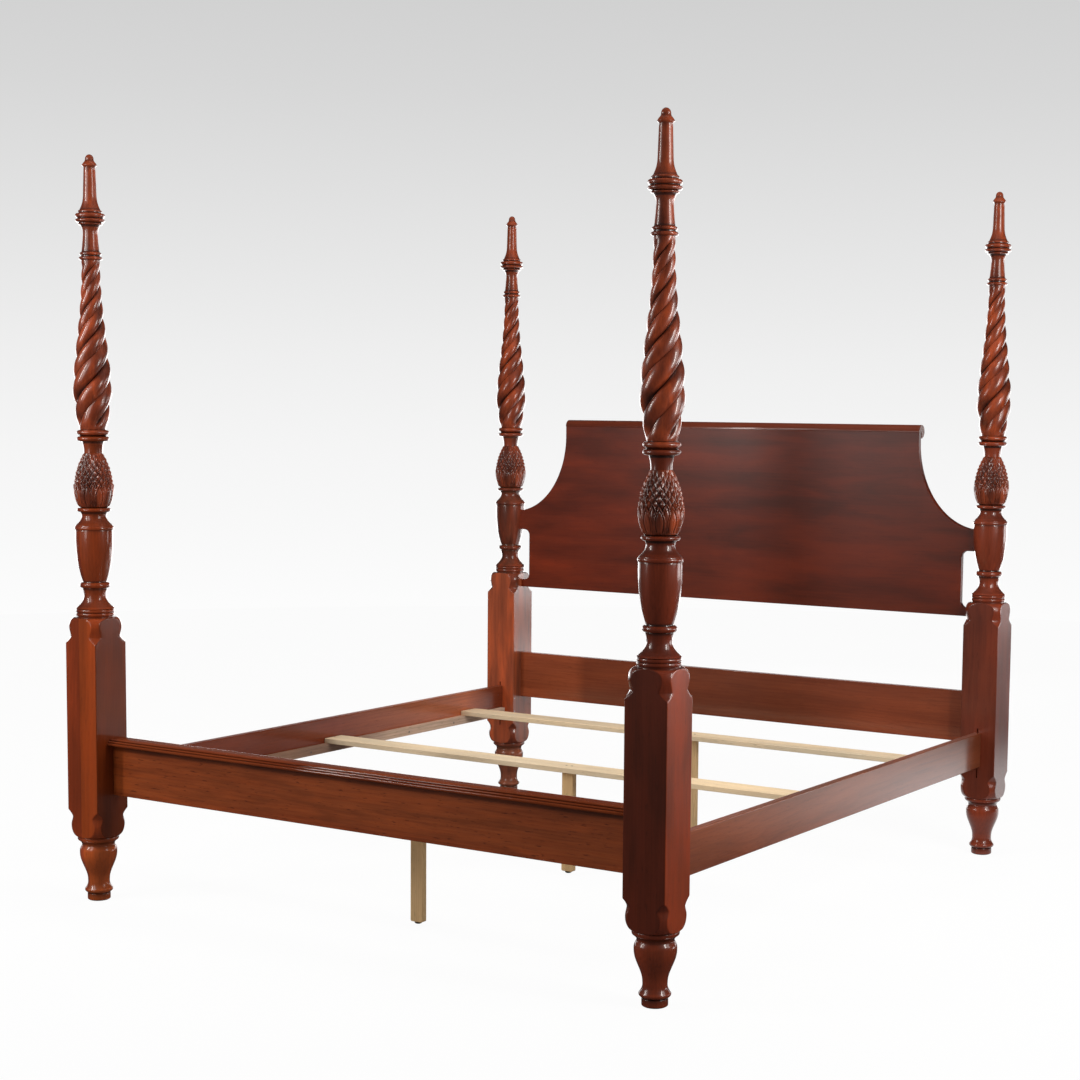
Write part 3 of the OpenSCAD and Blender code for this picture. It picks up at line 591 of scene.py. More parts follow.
def scale_relief(turn, row):
    """Relief of pointed scales in staggered rows, each with a proud upper tip."""
    p, q = turn * SCALES_ROUND + row, turn * SCALES_ROUND - row
    a, b = p % 1 - 0.5, q % 1 - 0.5
    rise, aside = (a - b) / 2, (a + b) / 2
    side = np.maximum(np.abs(a), np.abs(b)) * 2
    body = 1 - side ** 2.2
    keel = np.clip(1 - np.abs(aside) / KEEL_W, 0, 1) * body
    tip = np.exp(-((rise - TIP_RISE) / 0.15) ** 2 - (aside / 0.12) ** 2)
    return -SCALE_FALL + SCALE_H * body * (0.85 + 0.8 * rise) + KEEL_H * keel + TIP_H * tip


def pineapple_mesh():
    shell = Shell(2)
    t = np.linspace(0.0, 1.0, PINE_ROWS)[:, None]
    a = LEAF_TURN + full_turn(PINE_COLUMNS)
    turn = (a - LEAF_TURN) / (2 * math.pi)
    body = pineapple_radius(t)
    size = body / PINEAPPLE_R
    row = (t - SCALE_FOOT) / (1 - SCALE_FOOT) * SCALE_ROWS
    scales = scale_relief(turn, row) * size * ramped(1 - t, 0.0, 0.06)
    place = turn * LEAF_COUNT
    first = (place % 1) - 0.5
    second = ((place + 0.5) % 1) - 0.5
    up = t / LEAF_SHARE + 0 * first
    front, line = leaf_relief(first, up, LEAF_W)
    back, back_line = leaf_relief(second, up / BACK_LEAF, BACK_LEAF_W)
    back = back - BACK_LEAF_DROP
    relief = np.maximum(np.maximum(front, back), np.where(up < 0.75, -LEAF_FALL, scales))
    line = np.where(relief == front, line, np.where(relief == back, back_line, 0.0))
    relief = relief * ramped(t, -0.01, 0.035)
    z = PINEAPPLE_Z + t * PINEAPPLE_H
    # valleys between scales and leaves and the cut lines are darkened: glazing and painted shade
    recess = np.maximum(0.9 * ramped(-relief, 0.7, SCALE_FALL), 0.8 * line)
    shell.band(turned(body + relief, a, z), a, recess, steps(np.hstack([body, z])))
    me = shell.mesh("pineapple_carving")
    shade(me, 70)
    return me


# ----------------------------------------------------------- the rope twist
ROPE_START = math.radians(-42)
ROPE_FADE = 30.0
STRAND_FULLNESS = 0.72
COLUMN_GATHER = 0.13
STRAND_COLUMNS = 36
ROPE_ROWS = 260


def rope_radius(s):
    low = ROPE_LOW_R + (ROPE_R - ROPE_LOW_R) * (1 - np.clip(1 - s / ROPE_BELLY_H, 0, 1) ** 2)
    share = np.clip((s - ROPE_BELLY_H) / (ROPE_H - ROPE_BELLY_H), 0, 1)
    high = ROPE_HIGH_R + (ROPE_R - ROPE_HIGH_R) * (1 + np.cos(math.pi * share ** 0.8)) / 2
    return np.where(s < ROPE_BELLY_H, low, high)


def groove_angle(s):
    rise = ROPE_RISE_LOW + (ROPE_RISE_HIGH - ROPE_RISE_LOW) * s / ROPE_H
    slope = ROPE_H / (ROPE_RISE_HIGH - ROPE_RISE_LOW)
    return ROPE_START + math.pi * slope * np.log(rise / ROPE_RISE_LOW)


def groove_fade(s):
    return ramped(np.minimum(s, ROPE_H - s), 0, ROPE_FADE)


def rope_band(shell):
    """Four strands: in half a turn, one from the deep to the shallow groove and one back.

    The columns run along the strands and gather beside the grooves.
    """
    s = np.linspace(0, ROPE_H, ROPE_ROWS)[:, None]
    shares, cuts = [], []
    u = np.arange(STRAND_COLUMNS) / STRAND_COLUMNS
    u = u - COLUMN_GATHER * np.sin(2 * math.pi * u)
    for p0, p1, d0, d1 in ((0, SHALLOW_PLACE, DEEP_GROOVE, SHALLOW_GROOVE),
                           (SHALLOW_PLACE, 1, SHALLOW_GROOVE, DEEP_GROOVE)):
        shares.append(p0 + (p1 - p0) * u)
        cuts.append((d0 + (d1 - d0) * u) * (1 - np.sin(math.pi * u) ** STRAND_FULLNESS))
    share = np.concatenate(shares + [1 + x for x in shares])
    cut = np.concatenate(cuts * 2)
    turn = math.pi * share
    cut = cut * groove_fade(s)
    rings = turned(rope_radius(s) * (1 - cut), groove_angle(s) + turn, ROPE_Z + s)
    # the grooves are darkened: glazing and painted shade
    recess = 0.85 * ramped(cut, 0.09, 0.27)
    shell.band(rings, turn, recess, np.full(ROPE_ROWS - 1, ROPE_H / (ROPE_ROWS - 1)))


# ------------------------------------------------------------------- posts
def eased(bm, edges, ease):
    """Rounds edges of a bmesh by ease, in mm."""
    bmesh.ops.bevel(bm, geom=edges, offset=ease * MM, segments=3, profile=0.5,
                    affect="EDGES", clamp_overlap=True)


def closed(bm, mesh):
    """Writes a bmesh into a mesh with its normals pointing outward."""
    bmesh.ops.recalc_face_normals(bm, faces=bm.faces[:])
    bm.to_mesh(mesh)
    bm.free()
    return mesh


def boxes(corners):
    """A bmesh of separate boxes, each given by two opposite corners in mm."""
    bm = bmesh.new()
    for one, other in corners:
        lo, hi = np.minimum(one, other), np.maximum(one, other)
        for v in bmesh.ops.create_cube(bm, size=1.0)["verts"]:
            v.co = Vector([(lo[i] + (hi[i] - lo[i]) * (v.co[i] + 0.5)) * MM for i in range(3)])
    return bm


def board_mesh(name, corners, ease):
    """One or more square boards with eased edges."""
    bm = boxes(corners)
    eased(bm, bm.edges[:], ease)
    me = closed(bm, bpy.data.meshes.new(name))
    shade(me, 35, True)
    return me


def tenon_box(x0, x1, y, z, h):
    return (x0, y - TENON_T / 2, z + TENON_SHOULDER), (x1, y + TENON_T / 2, z + h - TENON_SHOULDER)


def post_cuts(sx, sy):
    """Boxes let into a post's block: the hook plate's slot and the rail's mortise."""
    face = sy * -BLOCK_HALF
    z = SIDE_RAIL_Z - HOOK_SLOT_DROP
    slot = ((-HOOK_SLOT_W / 2, face - sy, z),
            (HOOK_SLOT_W / 2, face + sy * HOOK_SLOT_D, z + HOOK_SLOT_H))
    x0, x1 = sx * (-BLOCK_HALF - 1), sx * (-BLOCK_HALF + TENON_L)
    rail = (0, HEAD_RAIL_Z, HEAD_RAIL_H) if sy > 0 else (FOOT_RAIL_INSET, FOOT_RAIL_Z, FOOT_RAIL_H)
    return [slot, tenon_box(x0, x1, *rail)]


def cutter(name, sx, sy):
    """Object with every box and pin hole that a post's block is cut with."""
    bm = boxes(post_cuts(sx, sy))
    x0, x1 = sx * (-BLOCK_HALF - 1), sx * (HOOK_SLOT_W / 2 + HOOK_PIN_PAST)
    for level in range(HOOK_PINS):
        z = SIDE_RAIL_Z + HOOK_PIN_Z + level * HOOK_PIN_PITCH
        middle = Vector(((x0 + x1) / 2, sy * (-BLOCK_HALF + HOOK_PIN_IN), z)) * MM
        bmesh.ops.create_cone(
            bm, cap_ends=True, segments=32, radius1=HOOK_PIN_R * MM, radius2=HOOK_PIN_R * MM,
            depth=abs(x1 - x0) * MM,
            matrix=Matrix.Translation(middle) @ Matrix.Rotation(math.pi / 2, 4, "Y"))
    me = closed(bm, bpy.data.meshes.new(name))
    me.uv_layers.new(name="OFBake")
    # the faces of the slot, mortise and pin holes are darkened like deep cuts: glazing and painted shade
    recess_layer(me, 0.9)
    return add_object(name, me)


def merged(mesh, distance=0.004):
    """The mesh with its doubled points joined."""
    bm = bmesh.new()
    bm.from_mesh(mesh)
    bmesh.ops.remove_doubles(bm, verts=bm.verts[:], dist=distance * MM)
    bmesh.ops.dissolve_degenerate(bm, edges=bm.edges[:], dist=distance * MM)
    bm.to_mesh(mesh)
    bm.free()
    return mesh


def lower_post(corner):
    """Foot, cut block, vase and neck of one post as one piece."""
    sx, sy = CORNERS[corner]
    foot = Shell(4)
    foot.turn(foot_outline(), 112)
    block = Shell(4, foot.length)
    block_band(block)
    rest = Shell(4, block.length)
    rest.turn(vase_outline(), 128)
    rest.turn(neck_outline(), 112)
    foot.length = block.length = rest.length
    post = add_object(corner + "_post_base", merged(block.mesh("block")))
    tool = cutter(corner + "_cutter", sx, sy)
    mod = post.modifiers.new("cut", "BOOLEAN")
    mod.operation = "DIFFERENCE"
    mod.object = tool
    mod.solver = "EXACT"
    bpy.context.view_layer.update()
    graph = bpy.context.evaluated_depsgraph_get()
    solid = bpy.data.meshes.new_from_object(post.evaluated_get(graph), depsgraph=graph)
    post.modifiers.clear()
    post.data = solid
    bpy.data.objects.remove(tool)
    parts = [post, add_object("foot", foot.mesh("foot")), add_object("rest", rest.mesh("rest"))]
    with bpy.context.temp_override(active_object=post, object=post,
                                   selected_objects=parts, selected_editable_objects=parts):
        bpy.ops.object.join()
    post.data.name = post.name
    shade(post.data, 40)
    post.location = Vector((sx * HALF_X, sy * HALF_Y, 0)) * MM
    return post


def upper_post_mesh():
    shell = Shell(3)
    shell.turn(rope_base_outline(), 112)
    rope_band(shell)
    shell.turn(collar_outline(), 112)
    me = shell.mesh("twist_shaft")
    shade(me, 50)
    return me


def finial_mesh():
    shell = Shell(2)
    tenon = [[FINIAL_TENON_R - 0.8, FINIAL_Z - FINIAL_TENON_L],
             [FINIAL_TENON_R, FINIAL_Z - FINIAL_TENON_L + 1],
             [FINIAL_TENON_R, FINIAL_Z]]
    shell.turn(np.array(tenon), 48)
    shell.turn(finial_outline(), 96)
    me = shell.mesh("finial_turning")
    shade(me, 40)
    return me


# ---------------------------------------------------------- boards and roll
def outline_plank(name, pts, y0, y1, ease):
    """Upright plank: an outline of [x, z] between two depths, edges eased."""
    bm = bmesh.new()
    face = bm.faces.new([bm.verts.new((x * MM, y0 * MM, z * MM)) for x, z in pts])
    for v in bmesh.ops.extrude_face_region(bm, geom=[face])["geom"]:
        if isinstance(v, bmesh.types.BMVert):
            v.co.y = y1 * MM
    bm.normal_update()
    eased(bm, [e for e in bm.edges if abs(e.verts[0].co.y - e.verts[1].co.y) < 1e-7], ease)
    me = closed(bm, bpy.data.meshes.new(name))
    shade(me, 35, True)
    return me


def panel_points():
    x_end = HALF_X - EAR_END
    ear_top = PANEL_Z + EAR_Z + EAR_H
    down = np.radians(np.arange(180, 270.1, 2.5))
    sweep = arc(PANEL_TOP_W / 2 + SWEEP_W, ear_top + SWEEP_H, SWEEP_W, down, SWEEP_H)
    x = HALF_X - SLOT_REACH + SLOT_CORNER_R
    quarter = np.radians(np.arange(90, 180.1, 9))
    slot = np.concatenate([
        arc(x, PANEL_Z + EAR_Z - SLOT_CORNER_R, SLOT_CORNER_R, quarter),
        arc(x, PANEL_Z + LOW_EAR_H + SLOT_CORNER_R, SLOT_CORNER_R, quarter + math.pi / 2)])
    right = np.concatenate([
        [[PANEL_TOP_W / 2, PANEL_ROLL_Z]], sweep, [[x_end, ear_top], [x_end, PANEL_Z + EAR_Z]],
        slot, [[x_end, PANEL_Z + LOW_EAR_H], [x_end, PANEL_Z]]])
    return np.concatenate([right, right[::-1] * [-1, 1]])


def leg_points():
    """Front outline of a centre leg, its lower corners rounded."""
    a = np.radians(np.arange(180, 271, 10))
    left = arc(LEG_OFFSET - LEG_W / 2 + LEG_EASE, LEG_GROUND_GAP + LEG_EASE, LEG_EASE, a)
    right = left[::-1] * [-1, 1] + [2 * LEG_OFFSET, 0]
    top = [[LEG_OFFSET + LEG_W / 2, SLAT_Z], [LEG_OFFSET - LEG_W / 2, SLAT_Z]]
    return np.concatenate([left, right, top])


def swept_bar(name, section, x0, x1, ease, deep=0.0):
    """Bar along X with a cross-section of [y, z], its end edges drawn in."""
    section = np.asarray(section, float)
    inward = section.mean(0) - section
    inward = inward / np.linalg.norm(inward, axis=1)[:, None]
    offs = [(x0, ease), (x0 + 0.3 * ease, 0.3 * ease), (x0 + ease, 0.0)]
    offs += [(x1 - ease, 0.0), (x1 - 0.3 * ease, 0.3 * ease), (x1, ease)]
    n, last = len(section), len(offs) - 1
    verts = [(x * MM, y * MM, z * MM) for x, drawn in offs for y, z in section + inward * drawn]
    faces = [(j * n + i, j * n + (i + 1) % n, (j + 1) * n + (i + 1) % n, (j + 1) * n + i)
             for j in range(last) for i in range(n)]
    faces += [tuple(range(n - 1, -1, -1)), tuple(range(last * n, last * n + n))]
    me = bpy.data.meshes.new(name)
    me.from_pydata(verts, [], faces)
    bm = bmesh.new()
    bm.from_mesh(me)
    closed(bm, me)
    recess_layer(me, np.tile(deep, len(verts) // np.size(deep)))
    shade(me, 35, True)
    return me


def roll_section():
    """The roll's round section with the step that sits on the panel."""
    r = ROLL_D / 2
    back = HALF_Y + PANEL_T / 2
    y_off = back - ROLL_Y
    meet = -math.sqrt(r * r - y_off * y_off)
    start = math.atan2(meet, y_off)
    ring = arc(ROLL_Y, PANEL_ROLL_Z, r, np.linspace(start, math.pi, 80))
    return np.concatenate([ring, [[back, PANEL_ROLL_Z]]])


CAP_BACK_R = 5.0
CAP_FLAT_SHARE = 0.55
CAP_FALL_SHARE = 0.24
REED_SLOPE = math.radians(45)
REED_STEP = 1.9
REED_LIFT = 0.5
# share of a reed, from its valley, that is darkened: glazing and painted shade
REED_GLAZE_SHADE_SHARE = 0.34


def cap_section():
    """The cap's section, [y, z], and the recess of its points.

    From the underside round the back, along the top and down over the reeds.
    """
    back = arc(CAP_W - CAP_BACK_R, CAP_T - CAP_BACK_R, CAP_BACK_R, np.radians(np.arange(0, 91, 10)))
    run = 2 * REED_R * REED_COUNT * math.cos(REED_SLOPE)
    t = np.linspace(0, 0.93, 12)
    fall = np.stack([run + (CAP_W * CAP_FLAT_SHARE - run) * (1 - t),
                     CAP_T - CAP_T * CAP_FALL_SHARE * t * t], 1)
    runs = [[[REED_R, 0.0], [CAP_W - 1, 0.0], [CAP_W, 1.0]], back, fall]
    deep = [0.0] * sum(len(r) for r in runs)
    valley = math.acos(REED_STEP / 2)
    for i in range(REED_COUNT - 1, -1, -1):
        y = REED_R + i * REED_STEP * REED_R * math.cos(REED_SLOPE)
        z = REED_R + REED_LIFT + i * REED_STEP * REED_R * math.sin(REED_SLOPE)
        start = math.radians(8) if i == REED_COUNT - 1 else REED_SLOPE + valley
        stop = math.radians(270) if i == 0 else REED_SLOPE + math.pi - valley
        shares = np.linspace(0, 1, 19)[:-1 if i else None]
        runs.append(arc(y, z, REED_R, start + (stop - start) * shares))
        for share in shares:
            away = min(share, 1 - share) if 0 < i < REED_COUNT - 1 else 1 - share if i else share
            deep.append(max(0.0, 1 - away / REED_GLAZE_SHADE_SHARE))
    y0 = FOOT_RAIL_Y - RAIL_T / 2 - CAP_OVERHANG
    return np.concatenate(runs) + [y0, CAP_Z], deep


# -------------------------------------------------------- small round pieces
def screw_head_mesh(name, places):
    """Countersunk screw heads with a cross recess. places are 4x4 matrices, mm."""
    n, rows = 48, 9
    r = np.linspace(0.15, SCREW_HEAD_R, rows)[:, None]
    x, y = r * np.cos(full_turn(n)), r * np.sin(full_turn(n))
    arm = CROSS_HALF_W - np.minimum(np.abs(x), np.abs(y))
    reach = CROSS_REACH - np.maximum(np.abs(x), np.abs(y))
    cross = np.clip(arm / 0.3, 0, 1) * np.clip(reach / 0.4, 0, 1)
    z = SCREW_PROUD - SCREW_DOME * (r / SCREW_HEAD_R) ** 2 - CROSS_DEPTH * cross
    z[-1] = -SCREW_RIM_SUNK
    flat = np.stack([x, y, z, np.ones_like(x)], 2).reshape(-1, 4)
    i = np.arange(n)
    j = np.arange(rows - 1)[:, None]
    k = (i + 1) % n
    quads = np.stack([j * n + i, (j + 1) * n + i, (j + 1) * n + k, j * n + k], 2).reshape(-1, 4)
    verts, faces = [], []
    for m in places:
        base = len(verts)
        verts += [tuple(p) for p in ((flat @ np.array(m).T)[:, :3] * MM)]
        faces += [tuple(q) for q in quads + base]
        faces.append(tuple(range(base, base + n)))
    me = bpy.data.meshes.new(name)
    me.from_pydata(verts, [], faces)
    shade(me, 35, True)
    return me


def glide_mesh(name):
    """Moulded foot of a glide, low and domed."""
    shell = Shell(1)
    edge = 0.1 * GLIDE_H
    foot = joined(
        [[GLIDE_CONTACT_R, 0.0]],
        sweep_line(GLIDE_CONTACT_R, 0.0, GLIDE_R, 0.66 * GLIDE_H, 0.9, 14),
        [[GLIDE_R, GLIDE_H - edge]],
        arc(GLIDE_R - edge, GLIDE_H - edge, edge, math.pi / 2 * spread(6)),
    )
    shell.turn(foot + [0, GLIDE_TRAVEL], 64)
    me = shell.mesh(name)
    shade(me, 35)
    return me


def stem_mesh(name):
    """Threaded stem of a glide, from inside its foot to its upper end."""
    shell = Shell(1)
    rows = 220
    length = GLIDE_REST_GAP + BUSH_L + GLIDE_TRAVEL + 1
    z = np.linspace(0, length, rows)[:, None]
    a = full_turn(24)
    wave = np.abs(((z / THREAD_PITCH - a / (2 * math.pi)) % 1) - 0.5) * 2
    rings = turned(GLIDE_STEM_R - THREAD_DEPTH * wave, a, GLIDE_TRAVEL + GLIDE_H - 1 + z)
    shell.band(rings, a, 0.6 * wave, np.full(rows - 1, length / (rows - 1)))
    me = shell.mesh(name)
    shade(me, 60)
    return me


# --------------------------------------------------------------- materials
def linear(r, g, b):
    """An sRGB colour, 0 to 255, as the linear colour a shader takes."""
    out = []
    for c in (r, g, b):
        c = c / 255
        out.append(c / 12.92 if c <= 0.04045 else ((c + 0.055) / 1.055) ** 2.4)
    return (*out, 1.0)


def scaled(colour, factors):
    """A colour with each channel times its own factor, or all times the same one."""
    return tuple(float(c) for c in np.array(colour[:3]) * factors) + (1.0,)


class Graph:
    """Short calls that build the node tree of a material or world."""

    def __init__(self, owner):
        owner.use_nodes = True
        self.tree = owner.node_tree
        self.tree.nodes.clear()

    def add(self, kind, inputs=None, **settings):
        node = self.tree.nodes.new("ShaderNode" + kind)
        for key, value in settings.items():
            setattr(node, key, value)
        for key, value in (inputs or {}).items():
            socket = node.inputs[key]
            if isinstance(value, bpy.types.NodeSocket):
                self.tree.links.new(value, socket)
            else:
                socket.default_value = value
        return node

    def math(self, operation, a, b=0.0, clamp=False):
        return self.add("Math", {0: a, 1: b}, operation=operation, use_clamp=clamp).outputs[0]

    def plus(self, a, b, clamp=False):
        return self.math("ADD", a, b, clamp)

    def times(self, a, b, clamp=False):
        return self.math("MULTIPLY", a, b, clamp)

    def vector(self, operation, a, b, output="Vector"):
        return self.add("VectorMath", {0: a, 1: b}, operation=operation).outputs[output]

    def mix(self, share, a, b, blend="MIX"):
        node = self.add("Mix", {0: share, 6: a, 7: b}, data_type="RGBA", blend_type=blend)
        return node.outputs[2]

    def ramp(self, value, stops):
        node = self.add("ValToRGB", {0: value})
        points = node.color_ramp.elements
        while len(points) < len(stops):
            points.new(0.5)
        for point, (place, colour) in zip(points, stops):
            point.position = place
            point.color = colour if isinstance(colour, tuple) else (colour, colour, colour, 1.0)
        return node.outputs[0]

    def noise(self, vector, scale, detail=3.0, rough=0.55, distortion=0.0):
        return self.add("TexNoise", {"Vector": vector, "Scale": scale, "Detail": detail,
                                     "Roughness": rough, "Distortion": distortion}).outputs[0]

    def remap(self, value, low, high, to_low=0.0, to_high=1.0):
        return self.add("MapRange", {0: value, 1: low, 2: high, 3: to_low, 4: to_high}).outputs[0]

    def surface(self, colour, rough, height, bump, depth, finish):
        """Ends a material: its bump and a principled shader with more settings."""
        normal = self.add("Bump", {"Strength": bump, "Distance": depth, "Height": height}).outputs[0]
        shader = self.add("BsdfPrincipled", {"Base Color": colour, "Roughness": rough,
                                             "Normal": normal, **finish})
        self.add("OutputMaterial", {"Surface": shader.outputs[0]})


# Which of x, y and z run across, across and along the grain
GRAIN_ORDER = {"x": (1, 2, 0), "y": (0, 2, 1), "z": (0, 1, 2)}
# Factors of the timber's dark or light tone for what marks it
DARK_PATCH = (0.40, 0.55, 0.75)
RED_PATCH = (1.45, 1.25, 0.95)
PORE = 0.45
FLECK = 0.35
# tone the cuts are darkened to: glazing and painted shade
CUT_GLAZE_AND_SHADE = 0.22
KNOT_TONE = (122, 70, 36)


def wood_material(name, dark, light, along="z", shift=(0.0, 0.0, 0.0), rings=0.35, ring_step=0.009,
                  figure=0.5, streak=0.35, boards=(), gloss=0.36, coat=0.9, glaze_and_shade=0.9,
                  pith=(0.09, 0.05), knots=0.0, bump=0.15, specular=0.2, coat_rough=0.15,
                  patch=(12.0, 1.6, 0.25), flecks=0.35, coat_ior=1.5):
    """Finished timber: growth rings, broad figure, fine streaks, pores, and the cuts darkened by glazing
    and painted shade.

    boards lists (axis, place in metres, width, colour factor) where the tone
    changes: at a glued joint, at a flat of a post, or slowly over a width. Some of them
    paint light or shade, as noted where they are given.
    patch is how many darker and redder patches a metre holds across and along the
    grain, and their strength.
    """
    mat = bpy.data.materials.new(name)
    g = Graph(mat)
    parts = g.add("SeparateXYZ", {
        0: g.vector("ADD", g.add("TexCoord").outputs["Object"], shift)}).outputs
    grain = [parts[i] for i in GRAIN_ORDER[along]]

    def stretched(across, length):
        """The place with its own scale across and along the grain."""
        scales = zip(grain, (across, across, length))
        return g.add("CombineXYZ", {i: g.times(p, s) for i, (p, s) in enumerate(scales)}).outputs[0]

    def noise(across, length, *settings):
        return g.noise(stretched(across, length), 1.0, *settings)

    # growth rings round a pith that wanders
    wander = g.times(g.math("SUBTRACT", noise(2.0, 1.1, 2.0), 0.5), 0.09)
    a = g.plus(grain[0], g.plus(wander, pith[0]))
    b = g.plus(grain[1], g.plus(g.times(wander, 0.6), pith[1]))
    radius = g.math("SQRT", g.plus(g.times(a, a), g.times(b, b)))
    phase = g.plus(g.math("DIVIDE", radius, ring_step), g.times(noise(14.0, 1.6, 3.0), 1.6))
    ring = g.ramp(g.math("FRACT", phase), [(0.0, 0.15), (0.55, 0.45), (0.86, 1.0), (1.0, 0.1)])
    # broad figure and fine streaks
    broad = g.remap(noise(9.0, 0.9, 3.0, 0.6, 0.4), 0.3, 0.7)
    fine = g.remap(noise(230.0, 5.0, 3.0, 0.6), 0.3, 0.7)
    share = g.plus(g.times(broad, figure), g.times(fine, streak))
    share = g.math("SUBTRACT", share, g.times(ring, rings), clamp=True)
    colour = g.mix(g.plus(share, 0.22, clamp=True), dark, light)
    # darker and redder patches, then boards of another tone
    across, length, strength = patch
    cloud = noise(across, length, 3.0, 0.5, 0.25)
    darker = g.times(g.remap(cloud, 0.50, 0.34), strength)
    redder = g.times(g.remap(cloud, 0.52, 0.68), strength)
    colour = g.mix(darker, colour, scaled(dark, DARK_PATCH))
    colour = g.mix(redder, colour, scaled(light, RED_PATCH))
    for axis, place, width, factor in boards:
        axis = "xyz".index(axis)
        middle = place + shift[axis]
        past = g.remap(parts[axis], middle - width / 2, middle + width / 2)
        colour = g.mix(past, colour, g.mix(1.0, colour, (*factor, 1.0), "MULTIPLY"))
    # pores, flecks, knots, then the cuts darkened by glazing and painted shade
    pores = g.remap(noise(1100.0, 22.0, 1.0, 0.5), 0.62, 0.74)
    colour = g.mix(g.times(pores, 0.35), colour, scaled(dark, PORE))
    fleck = g.remap(noise(260.0, 32.0, 2.0, 0.5), 0.64, 0.72)
    colour = g.mix(g.times(fleck, flecks), colour, scaled(dark, FLECK))
    if knots:
        spots = g.add("TexVoronoi", {"Vector": stretched(7.5, 2.6), "Scale": 1.0}).outputs[0]
        colour = g.mix(g.times(g.remap(spots, 0.16, 0.05), knots), colour, linear(*KNOT_TONE))
    recess = g.add("Attribute", attribute_name="recess").outputs["Fac"]
    colour = g.mix(g.times(recess, glaze_and_shade, clamp=True), colour, scaled(dark, CUT_GLAZE_AND_SHADE))
    rough = g.plus(g.plus(g.times(fine, 0.07), gloss), g.times(recess, 0.12))
    height = g.plus(g.times(fine, 0.3), g.times(pores, -1.0))
    height = g.plus(height, g.times(noise(26.0, 4.0, 2.0), 0.9))
    g.surface(colour, rough, height, bump, 0.0005, {
        "Specular IOR Level": specular, "Coat Weight": coat, "Coat Roughness": coat_rough,
        "Coat IOR": coat_ior})
    return mat


def hard_material(name, low, high, stretch, detail, clouds, spread, rough, swing, bump, finish):
    """Metal or plastic: clouds between two tones, and a fine grain in gloss and bump."""
    mat = bpy.data.materials.new(name)
    g = Graph(mat)
    place = g.add("TexCoord").outputs["Object"]
    grain = g.noise(g.vector("MULTIPLY", place, stretch), 1.0, detail)
    cloud = g.remap(g.noise(place, clouds, 3.0), 0.5 - spread, 0.5 + spread)
    g.surface(g.mix(cloud, low, high), g.plus(g.times(grain, swing), rough), grain, bump, 0.0002,
              finish)
    return mat


def steel_material(name, tone, gloss):
    """Brushed steel of a grey tone."""
    base = (tone,) * 3
    return hard_material(name, scaled(base, (0.75, 0.72, 0.68)), scaled(base, (1.15, 1.13, 1.10)),
                         (900.0, 900.0, 60.0), 3.0, 45.0, 0.15, gloss - 0.06, 0.18, 0.25,
                         {"Metallic": 1.0})


def nylon_material(name):
    return hard_material(name, linear(38, 35, 33), linear(60, 56, 52), (900.0,) * 3, 2.0, 60.0, 0.2,
                         0.42, 0.15, 0.3, {"Specular IOR Level": 0.4})


def dress(ob, mat):
    """Gives an object one material in place of what it had."""
    ob.data.materials.clear()
    ob.data.materials.append(mat)


# ------------------------------------------------------------ light and view
CAMERA_PLACE = (3.59971, -5.45614, 1.51735)
CAMERA_RIGHT = (0.84353, 0.53699, 0.01018)
CAMERA_DOWN = (0.05967, -0.07487, -0.99541)
CAMERA_AHEAD = (-0.53376, 0.84026, -0.0952)
CAMERA_LENS = 67.962
CAMERA_SHIFT = (-0.05852, 0.05799)


def make_camera():
    data = bpy.data.cameras.new("camera")
    data.lens = CAMERA_LENS
    data.sensor_width = 36.0
    data.shift_x, data.shift_y = CAMERA_SHIFT
    data.clip_end = 60.0
    cam = add_object("camera", data)
    turn = Matrix((CAMERA_RIGHT, [-c for c in CAMERA_DOWN], [-c for c in CAMERA_AHEAD])).transposed()
    cam.matrix_world = Matrix.Translation(CAMERA_PLACE) @ turn.to_4x4()
    bpy.context.scene.camera = cam


def softbox(name, place, target, size, radiance):
    """Rectangular, slightly warm lamp of a given radiance, facing a target."""
    data = bpy.data.lights.new(name, "AREA")
    data.shape = "RECTANGLE"
    data.size, data.size_y = size
    data.energy = radiance * math.pi * size[0] * size[1]
    data.color = (1.0, 0.98, 0.95)
    ob = add_object(name, data)
    ob.location = place
    ob.rotation_euler = (Vector(target) - Vector(place)).to_track_quat("-Z", "Y").to_euler()
    return ob


# Backdrop seen by the camera: sine of the height angle, sRGB grey
BACKDROP = [(-0.16, 255), (-0.108, 253), (-0.064, 249), (-0.020, 245), (0.023, 239),
            (0.066, 231), (0.108, 223), (0.149, 215), (0.191, 209), (0.30, 200)]
AMBIENT = 0.27
# What the finish mirrors: a bright low wall ahead of the camera, a window to its
# right and a dark room elsewhere. Each pair holds a place on the scale, the cosine
# from the middle or the sine of the height, and a brightness.
WALL_WIDTH = [(0.56, 0.0), (0.94, 1.0)]
WALL_HEIGHT = [(-0.03, 5.0), (0.13, 0.05)]
WINDOW_AHEAD = (0.60, 0.795, -0.09)
WINDOW_WIDTH = [(0.974, 0.0), (0.990, 6.0)]
ROOM_GLOSS = 0.03


def grey(value):
    return (value, value, value, 1.0)


